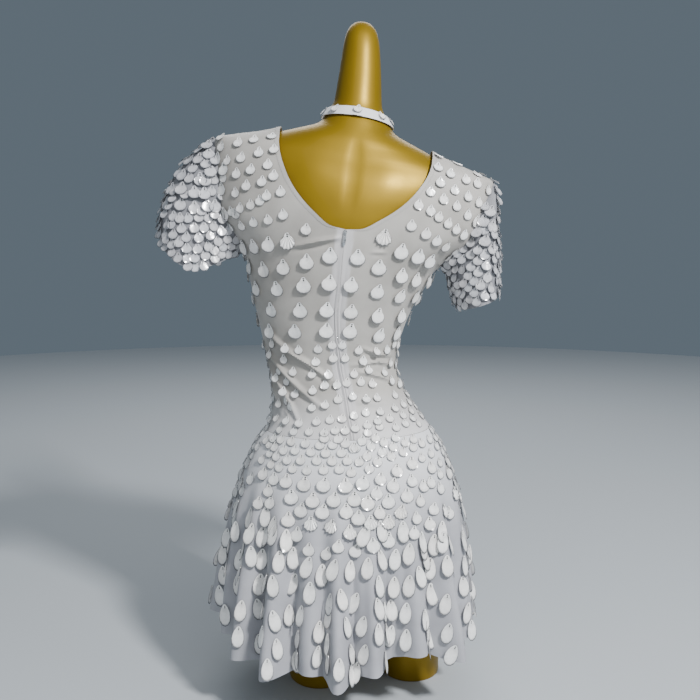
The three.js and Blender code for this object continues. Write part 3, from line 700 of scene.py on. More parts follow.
def chokerGrid():
    turn = np.radians(np.linspace(-1, 360 + choker["lapDegrees"] - 1, 160))[None, :]
    v = np.linspace(0, 1, 9)[:, None]
    drop = choker["rise"] * onBody(turn, np.full(turn.shape, choker["low"]))[..., 1]
    z = choker["low"] + (choker["high"] - choker["low"]) * v - drop
    lap = choker["lapMm"] * smoothStep(np.degrees(turn), 345, 358) + 0 * z
    crown = choker["crownMm"] * (1 - (2 * v - 1) ** 4) + 0 * z
    return clothAt(onBody, turn + 0 * z, z, lap + crown - 0.4)


piece = finishCloth("choker_band", chokerGrid(), skirtFinish)

print("dress form")
form = {"sides": 112, "thighSides": 72, "spineMm": 2.2, "bladeMm": 2.4, "lowEnd": 211, "tip": 1073, "legTop": 290}


# Spine and shoulder blades, shallow and only where the open back shows them
def modelled(turn, z):
    x = read(figure, "body", z) * np.sin(turn)
    shown = np.where(np.cos(turn) > 0, smoothStep(z, 765, 800), 0)
    spine = -form["spineMm"] * np.exp(-(x / 7) ** 2) * (1 - smoothStep(z, 860, 900))
    blades = sum(np.exp(-((x - side * 56) / 26) ** 2 - ((z - 832) / 34) ** 2) for side in (-1, 1))
    return shown * (spine + form["bladeMm"] * blades)


def closedLoft(name, rings, lowPoint, highPoint):
    piece = gridMesh(name, rings, closed=True)
    box = bmesh.new()
    box.from_mesh(piece.data)
    ringVerts = list(box.verts)
    sides, count = rings.shape[1], rings.shape[0]
    for start, point, up in ((0, lowPoint, False), ((count - 1) * sides, highPoint, True)):
        pole = box.verts.new(Vector(point) / 1000)
        for i in range(sides):
            a, b = ringVerts[start + i], ringVerts[start + (i + 1) % sides]
            box.faces.new((a, b, pole) if up else (b, a, pole))
    box.to_mesh(piece.data)
    box.free()
    return piece


# Rounds off the edge where the thighs grow out of the torso
def softened(box):
    bmesh.ops.remove_doubles(box, verts=box.verts, dist=0.0002)
    crotch = [v for v in box.verts if 0.17 < v.co.z < 0.30]
    for _ in range(24):
        bmesh.ops.smooth_vert(box, verts=crotch, factor=0.5, use_axis_x=True, use_axis_y=True, use_axis_z=True)


def makeForm():
    levels = np.concatenate([np.linspace(214, 900, 116), np.linspace(905, 1060, 34),
                             [1063, 1066, 1068.5, 1070.5, 1072]])
    turn = np.linspace(0, 2 * np.pi, form["sides"] + 1)[:-1][None, :] + 0 * levels[:, None]
    z = levels[:, None] + 0 * turn
    upright = onBody(turn, z) + outward(onBody, turn, z) * modelled(turn, z)[..., None]
    capped = np.where(z > form["tip"] - 3, np.sqrt(np.clip((form["tip"] - z) / 3, 0, 1)), 1)
    upright[..., :2] *= capped[..., None]
    low, high = (stand(np.array([0.0, 0, form[key]])) for key in ("lowEnd", "tip"))
    torso = closedLoft("torso", stand(upright), low, high)
    for side in (-1, 1):
        low = np.concatenate([[0, 1.5, 3], np.linspace(8, 282, 46)])
        shrink = np.where(low < 3, 1 - 0.03 * (1 - low / 3) ** 2, 1)[:, None]
        turn = np.linspace(0, 2 * np.pi, form["thighSides"] + 1)[:-1][None, :] + 0 * low[:, None]
        z = low[:, None] + 0 * turn
        across, deep, apart = (read(thigh, key, z) for key in ("across", "deep", "apart"))
        leg = section(across * shrink, deep * shrink, deep * shrink, turn, z)
        leg[..., 0] += side * apart
        ends = [stand(np.array([side * float(read(thigh, "apart", height)), 0.0, height]))
                for height in (0, form["legTop"])]
        limb = closedLoft("thigh", stand(leg), *ends)
        join = torso.modifiers.new("join", "BOOLEAN")
        join.operation = "UNION"
        join.object = limb
        join.solver = "EXACT"
        shaped = bpy.data.meshes.new_from_object(torso.evaluated_get(bpy.context.evaluated_depsgraph_get()))
        torso.modifiers.clear()
        torso.data = shaped
        bpy.data.objects.remove(limb)
    mended(torso.data, softened)
    torso.data.shade_smooth()
    torso.data.materials.clear()
    torso.data.materials.append(goldFinish)
    torso.name = torso.data.name = "gold_form"
    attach(torso, bodyName)
    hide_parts("dress_form")


makeForm()

print("zip")
zipper = {"coilHalfMm": 1.2, "coilOutMm": 2.5, "coilThickMm": 1.1, "toothMm": 1.25, "toothWideMm": 1.9,
          "toothOutMm": 3.1, "stopMm": 3.0, "stopTallMm": 1.6, "stopDeepMm": 1.4, "stopOutMm": 3.2,
          "stopBevelMm": 0.3}


def zipFrame(z):
    z = np.atleast_1d(np.asarray(z, float))
    zero = np.zeros(len(z))
    at = stand(onFitted(zero, z))
    up = stand(onFitted(zero, z + 4)) - stand(onFitted(zero, z - 4))
    up /= np.linalg.norm(up, axis=1, keepdims=True)
    across = stand(onFitted(zero + 0.03, z)) - stand(onFitted(zero - 0.03, z))
    across -= up * (across * up).sum(1, keepdims=True)
    across /= np.linalg.norm(across, axis=1, keepdims=True)
    return at, up, across, np.cross(across, up)


zipEnd = float(rowHeight(5 / 12, neckline["back"][0]))
levels = np.linspace(zipEnd - 14, neckline["back"][0], 60)
at, up, across, out = zipFrame(levels)
sides = np.linspace(-1, 1, 5)
coilGrid = at[:, None] + across[:, None] * sides[:, None] * zipper["coilHalfMm"]
coilGrid = coilGrid + out[:, None] * zipper["coilOutMm"]
finishCloth("zip_coil", coilGrid, tapeFinish, thickness=zipper["coilThickMm"])
del panels["zip_coil"]


def polyline(name, points, normals):
    mesh = bpy.data.meshes.new(name)
    mesh.from_pydata((points / 1000).tolist(), [(i, i + 1) for i in range(len(points) - 1)], [])
    facing = mesh.attributes.new("facing", "FLOAT_VECTOR", "POINT")
    facing.data.foreach_set("vector", np.asarray(normals, float).reshape(-1))
    return linked(name, mesh)


def newTree(name, sockets):
    tree = bpy.data.node_groups.new(name, "GeometryNodeTree")
    tree.interface.new_socket("Geometry", in_out="INPUT", socket_type="NodeSocketGeometry")
    for socket, kind in sockets:
        tree.interface.new_socket(socket, in_out="INPUT", socket_type=kind)
    tree.interface.new_socket("Geometry", in_out="OUTPUT", socket_type="NodeSocketGeometry")
    return tree, addNode(tree, "NodeGroupInput")


# Runs a tree on an object and leaves its result as a plain mesh in a new object
def bakeTree(name, source, tree, values, material):
    maker = source.modifiers.new("maker", "NODES")
    maker.node_group = tree
    for item in tree.interface.items_tree:
        if item.in_out == "INPUT" and item.name in values:
            maker[item.identifier] = values[item.name]
    bpy.context.view_layer.update()
    depsgraph = bpy.context.evaluated_depsgraph_get()
    mesh = bpy.data.meshes.new_from_object(source.evaluated_get(depsgraph), depsgraph=depsgraph)
    source.modifiers.remove(maker)
    piece = linked(name, mesh)
    mesh.name = name
    if not mesh.materials:
        mesh.materials.append(material)
    bpy.data.objects.remove(source)
    return piece


def turnedTo(tree, normal, second, axis):
    first = addNode(tree, "FunctionNodeAlignRotationToVector", {"Vector": normal}, axis="Z")
    return addNode(tree, "FunctionNodeAlignRotationToVector", {"Rotation": first.outputs[0], "Vector": second},
                   axis=axis, pivot_axis="Z").outputs[0]


def copiesOf(tree, template, **inputs):
    shape = addNode(tree, "GeometryNodeObjectInfo", {"Object": template}).outputs["Geometry"]
    return addNode(tree, "GeometryNodeInstanceOnPoints", {"Instance": shape, **inputs}).outputs["Instances"]


def solidIn(tree, copies, material):
    solid = addNode(tree, "GeometryNodeRealizeInstances", {"Geometry": copies}).outputs["Geometry"]
    return addNode(tree, "GeometryNodeSetMaterial", {"Geometry": solid, "Material": material}).outputs["Geometry"]


# A row of like bodies along a line: stitches, or the teeth of the coil
def rowTree(name, template, material):
    tree, start = newTree(name, [("Pitch", "NodeSocketFloat"), ("Size", "NodeSocketFloat")])
    path = addNode(tree, "GeometryNodeMeshToCurve", {"Mesh": start.outputs["Geometry"]}).outputs["Curve"]
    path = addNode(tree, "GeometryNodeResampleCurve", {"Curve": path, "Length": start.outputs["Pitch"]},
                   mode="LENGTH").outputs["Curve"]
    facing = addNode(tree, "GeometryNodeInputNamedAttribute", {"Name": "facing"}, data_type="FLOAT_VECTOR")
    tangent = addNode(tree, "GeometryNodeInputTangent").outputs["Tangent"]
    turned = turnedTo(tree, facing.outputs["Attribute"], tangent, "X")
    copies = copiesOf(tree, template, Points=path, Rotation=turned, Scale=start.outputs["Size"])
    addNode(tree, "NodeGroupOutput", {"Geometry": solidIn(tree, copies, material)})
    return tree


# Unit bar along X or across it, thicker in its middle, for a stitch or a coil tooth
def barTemplate(name, sections, material, across=False):
    box = bmesh.new()
    rings, sides = [], 6
    for x, radius, lift in sections:
        angles = [2 * math.pi * k / sides for k in range(sides)]
        spots = [(x, radius * math.cos(a), lift + radius * math.sin(a)) for a in angles]
        rings.append([box.verts.new((p[1], p[0], p[2]) if across else p) for p in spots])
    for first, second in zip(rings, rings[1:]):
        for k in range(sides):
            box.faces.new((first[k], first[(k + 1) % sides], second[(k + 1) % sides], second[k]))
    box.faces.new(rings[0][::-1])
    box.faces.new(rings[-1])
    bmesh.ops.recalc_face_normals(box, faces=box.faces)
    mesh = meshOf(box, name)
    mesh.shade_smooth()
    mesh.materials.append(material)
    return linked(name, mesh)


stitchBar = barTemplate("stitchBar", [(-0.5, 0.05, -0.1), (-0.3, 0.11, 0.04), (0, 0.13, 0.09), (0.3, 0.11, 0.04),
                                      (0.5, 0.05, -0.1)], threadFinish)
toothBar = barTemplate("toothBar", [(-0.5, 0.14, -0.16), (-0.38, 0.26, 0.0), (0, 0.27, 0.1), (0.38, 0.26, 0.0),
                                    (0.5, 0.14, -0.16)], tapeFinish, across=True)
stitchTree = rowTree("stitches", stitchBar, threadFinish)
toothTree = rowTree("coil teeth", toothBar, tapeFinish)


def rideOnDress(piece):
    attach(piece, bodyName)
    return piece


at, up, across, out = zipFrame(np.linspace(zipEnd + 3, neckline["back"][0] - 4, 40))
line = polyline("teethLine", at + out * zipper["toothOutMm"], out)
teeth = bakeTree("zip_teeth", line, toothTree, {
    "Pitch": zipper["toothMm"] / 1000, "Size": zipper["toothWideMm"] / 1000,
}, tapeFinish)
rideOnDress(teeth)


# The slider and its pull keep their CAD shape, with their cut edges rounded
def roundedCopy(node, name, bodyOf, width):
    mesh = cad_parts[node].data.copy()
    piece = linked(name, mesh)

    def clean(box):
        bmesh.ops.remove_doubles(box, verts=box.verts, dist=0.00001)
        bmesh.ops.dissolve_limit(box, angle_limit=math.radians(2), verts=box.verts, edges=box.edges)

    mended(mesh, clean)
    mesh.materials.clear()
    mesh.materials.append(nickelFinish)
    edge = piece.modifiers.new("edge", "BEVEL")
    edge.width, edge.segments, edge.limit_method = width / 1000, 2, "ANGLE"
    mesh.shade_smooth()
    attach(piece, bodyOf)
    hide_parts(node)


roundedCopy("zip_slider", "slider", bodyName, 0.25)
roundedCopy("zip_pull", "pull_tab", "zip_pull", 0.2)


def zipStop():
    at, up, across, out = (v[0] for v in zipFrame([zipEnd]))
    box = bmesh.new()
    bmesh.ops.create_cube(box, size=1)
    wide, tall, deep = (zipper[key] / 1000 for key in ("stopMm", "stopTallMm", "stopDeepMm"))
    basis = Matrix((across * wide, up * tall, out * deep)).transposed()
    for v in box.verts:
        v.co = basis @ v.co + Vector((at + out * zipper["stopOutMm"]) / 1000)
    bmesh.ops.bevel(box, geom=box.edges[:], offset=zipper["stopBevelMm"] / 1000, segments=2, affect="EDGES")
    bmesh.ops.recalc_face_normals(box, faces=box.faces)
    mesh = meshOf(box, "zip_stop")
    mesh.shade_smooth()
    mesh.materials.append(nickelFinish)
    rideOnDress(linked("zip_stop", mesh))


zipStop()


def onCloth(name, points):
    panel = panels[name]
    found = [panel["tree"].find_nearest(Vector(p)) for p in points]
    places = np.array([f[0] for f in found])
    return places, np.array([f[1] for f in found]) * panel["sign"]


def insetLine(grid, rows, distance, fromStart):
    line = []
    for j in rows:
        row = grid[j] if fromStart else grid[j, ::-1]
        along = lengthAlong(row)
        line.append([np.interp(distance, along, row[:, k]) for k in range(3)])
    return np.array(line)


print("stitches")
seams = {"pitchMm": 3.2, "stitchMm": 2.3, "insetMm": 6}


def stitchRow(panel, points, label):
    places, normals = onCloth(panel, points)
    line = polyline("stitchLine", places + normals * 0.1, normals)
    return bakeTree("stitches_" + label, line, stitchTree, {
        "Pitch": seams["pitchMm"] / 1000, "Size": seams["stitchMm"] / 1000,
    }, threadFinish)


def joined(name, parts):
    first = parts[0]
    box = bmesh.new()
    for part in parts:
        box.from_mesh(part.data)
    box.to_mesh(first.data)
    box.free()
    for part in parts[1:]:
        bpy.data.objects.remove(part)
    first.name = first.data.name = name
    return first


def neckRows(side):
    return range(bodice[side][1] + 1, bodice[side][1] + bodice[side][2] + 1)


backLeft, backRight = (panels["bodice_back_" + side]["grid"] for side in ("left", "right"))
rows = [
    stitchRow("bodice_back_left", insetLine(backLeft, neckRows("back"), seams["insetMm"], False), "a"),
    stitchRow("bodice_back_right", insetLine(backRight, neckRows("back"), seams["insetMm"], True), "b"),
]
middle = bodice["front"][0] + 1
for half, fromStart, label in ((frontGrid[:, middle:], True, "c"), (frontGrid[:, :middle], False, "d")):
    line = insetLine(half, neckRows("front"), seams["insetMm"], fromStart)
    rows.append(stitchRow("bodice_front", line, label))
rideOnDress(joined("stitches_neckline", rows))
rows = []
for side in ("left", "right"):
    grid = panels["sleeve_" + side]["grid"]
    loop = insetLine(np.swapaxes(grid, 0, 1), range(grid.shape[1]), seams["insetMm"], False)
    rows.append(stitchRow("sleeve_" + side, np.concatenate([loop, loop[:1]]), side))
rideOnDress(joined("stitches_cuffs", rows))

print("paillettes")
# Half outlines from the bottom round to the tip, on a disc of radius 1; hole is the hole's height
discs = {
    "shell": {"hole": 0.96, "rib": 0.012, "outline": [
        (0, -0.93), (0.48, -0.85), (0.86, -0.55), (1.0, -0.12), (0.86, 0.28), (0.54, 0.60), (0.33, 0.92),
        (0.21, 1.13), (0, 1.20)]},
    "ribbed": {"hole": 0.96, "rib": 0.045, "outline": [
        (0, -0.96), (0.28, -0.84), (0.52, -0.86), (0.72, -0.60), (0.93, -0.48), (0.96, -0.14), (0.90, 0.22),
        (0.54, 0.62), (0.31, 0.96), (0.19, 1.14), (0, 1.20)]},
    "oval": {"hole": 1.42, "rib": 0.0, "outline": [
        (0, -1.75), (0.50, -1.58), (0.88, -1.05), (1.0, -0.35), (0.92, 0.35), (0.68, 1.02), (0.38, 1.52),
        (0.19, 1.72), (0, 1.78)]},
}
scatter = {"thickness": 0.02, "cup": 0.10, "holeRadius": 0.03, "tiltDegrees": 2.5, "tiltSpread": 3.0, "sway": 8.0,
           "gapMm": 0.2, "grow": 1.05, "ovalLoose": 1.7, "seed": 5, "steepest": 11}


# A disc of width 1 that hangs from its hole at the origin, its face towards +Z
def discTemplate(name, shape):
    half = [(x / 2, (y - shape["hole"]) / 2) for x, y in shape["outline"]]
    outline = half + [(-x, y) for x, y in half[-2:0:-1]]
    count = len(outline)
    centre = -shape["hole"] / 2
    tall = max(abs(y - centre) for x, y in outline)
    box = bmesh.new()
    outward = box.verts.layers.float.new("outward")
    eye = box.loops.layers.uv.new("eye")

    def ring(share, lift):
        verts = []
        for k, (x, y) in enumerate(outline):
            angle = math.atan2(y, x)
            px = scatter["holeRadius"] * math.cos(angle) * (1 - share) + x * share
            py = scatter["holeRadius"] * math.sin(angle) * (1 - share) + y * share
            away = math.hypot(px / 0.5, (py - centre) / tall)
            rise = scatter["cup"] * away ** 2 + shape["rib"] * share ** 2 * (-1) ** k
            verts.append(box.verts.new((px, py, rise + lift)))
            verts[-1][outward] = share
        return verts

    film = scatter["thickness"]
    rings = [ring(0, 0), ring(0, film), ring(0.6, film), ring(1, film), ring(1, 0)]
    rings.append(rings[0])
    for first, second in zip(rings, rings[1:]):
        for k in range(count):
            n = (k + 1) % count
            box.faces.new((first[k], second[k], second[n], first[n]))
    bmesh.ops.recalc_face_normals(box, faces=box.faces)
    for face in box.faces:
        for corner in face.loops:
            corner[eye].uv = corner.vert.co.xy
    mesh = meshOf(box, name)
    mesh.materials.append(pearlFinish)
    mesh.set_sharp_from_angle(angle=math.radians(50))
    return linked(name, mesh)


templates = {name: discTemplate(name + "Disc", shape) for name, shape in discs.items()}
tieBar = barTemplate("tieBar", [(-0.01, 0.012, 0.0), (0.02, 0.022, 0.045), (0.07, 0.022, 0.045), (0.11, 0.012, 0.0)],
                     threadFinish, across=True)


# Hangs a disc and the thread that ties it at every point: Z faces out and Y points to the tip
def scatterTree():
    tree, start = newTree("paillettes", [
        ("Tilt spread", "NodeSocketFloat"), ("Sway", "NodeSocketFloat"), ("Seed", "NodeSocketInt"),
    ])
    points = start.outputs["Geometry"]

    def named(name, kind):
        node = addNode(tree, "GeometryNodeInputNamedAttribute", {"Name": name}, data_type=kind)
        return node.outputs["Attribute"]

    def maths(a, b, kind):
        return addNode(tree, "ShaderNodeMath", {0: a, 1: b}, operation=kind).outputs[0]

    size, kindOf = named("size", "FLOAT"), named("kind", "INT")
    upright = turnedTo(tree, named("facing", "FLOAT_VECTOR"), named("upward", "FLOAT_VECTOR"), "Y")
    chance = addNode(tree, "FunctionNodeRandomValue", {
        0: (-1.0, -1.0, -1.0), 1: (1.0, 1.0, 1.0), "Seed": start.outputs["Seed"],
    }, data_type="FLOAT_VECTOR").outputs[0]
    parts = addNode(tree, "ShaderNodeSeparateXYZ", {"Vector": chance})
    nod, side = (maths(parts.outputs[axis], start.outputs["Tilt spread"], "MULTIPLY") for axis in "XY")
    tilt = maths(nod, named("lean", "FLOAT"), "SUBTRACT")
    sway = maths(maths(parts.outputs["Z"], start.outputs["Sway"], "MULTIPLY"), named("loose", "FLOAT"), "MULTIPLY")
    leaning = addNode(tree, "ShaderNodeCombineXYZ", {"X": tilt, "Y": side, "Z": sway}).outputs[0]
    leaning = addNode(tree, "FunctionNodeEulerToRotation", {"Euler": leaning}).outputs[0]
    turned = addNode(tree, "FunctionNodeRotateRotation", {"Rotation": upright, "Rotate By": leaning},
                     rotation_space="LOCAL").outputs[0]
    together = tree.nodes.new("GeometryNodeJoinGeometry")
    for number, name in enumerate(discs):
        chosen = addNode(tree, "FunctionNodeCompare", {2: kindOf, 3: number}, data_type="INT",
                         operation="EQUAL").outputs[0]
        copies = copiesOf(tree, templates[name], Points=points, Selection=chosen, Rotation=turned, Scale=size)
        tree.links.new(copies, together.inputs[0])
    lot = addNode(tree, "FunctionNodeRandomValue", {2: 0.0, 3: 1.0, "Seed": start.outputs["Seed"]},
                  data_type="FLOAT")
    marked = addNode(tree, "GeometryNodeStoreNamedAttribute", {
        "Geometry": together.outputs[0], "Name": "lot", "Value": lot.outputs[1],
    }, data_type="FLOAT", domain="INSTANCE").outputs["Geometry"]
    film = solidIn(tree, marked, pearlFinish)
    sewn = solidIn(tree, copiesOf(tree, tieBar, Points=points, Rotation=turned, Scale=size), threadFinish)
    both = tree.nodes.new("GeometryNodeJoinGeometry")
    tree.links.new(sewn, both.inputs[0])
    tree.links.new(film, both.inputs[0])
    addNode(tree, "NodeGroupOutput", {"Geometry": both.outputs[0]})
    return tree


pailletteTree = scatterTree()
kindNumbers = {name: number for number, name in enumerate(discs)}
chance = np.random.default_rng(11)


def levelRuns(grid, height):
    heights = grid[..., 2]
    runs, run = [], []
    for i in range(grid.shape[1]):
        above = heights[:, i] >= height
        crossing = np.nonzero(above[1:] != above[:-1])[0]
        if len(crossing):
            j = crossing[0]
            t = (height - heights[j, i]) / (heights[j + 1, i] - heights[j, i])
            point = grid[j, i] * (1 - t) + grid[j + 1, i] * t
            if run and np.linalg.norm(point - run[-1]) > 20:
                runs.append(np.array(run))
                run = []
            run.append(point)
        elif run:
            runs.append(np.array(run))
            run = []
    if run:
        runs.append(np.array(run))
    return [r for r in runs if len(r) > 2]


def spreadAlong(run, pitch, shift):
    along = lengthAlong(run)
    count = max(int(round(along[-1] / pitch)), 1)
    at = (np.arange(count) + shift) * along[-1] / count
    return np.stack([np.interp(at, along, run[:, k]) for k in range(3)], 1)


def rowsOn(name, heights, pitch, size, kind="shell", jitter=0.0, ribbedShare=0.0):
    spots = []
    for number, height in enumerate(heights):
        for run in levelRuns(panels[name]["grid"], height):
            points = spreadAlong(run, pitch, 0.27 if number % 2 else 0.73)
            points = points + chance.uniform(-1, 1, points.shape) * jitter
            places, normals = onCloth(name, points)
            for place, normal in zip(places, normals):
                ribbed = kind == "shell" and chance.random() < ribbedShare
                grown = size * (1 + 0.04 * chance.uniform(-1, 1))
                spots.append((place, normal, grown, "ribbed" if ribbed else kind, name))
    return spots


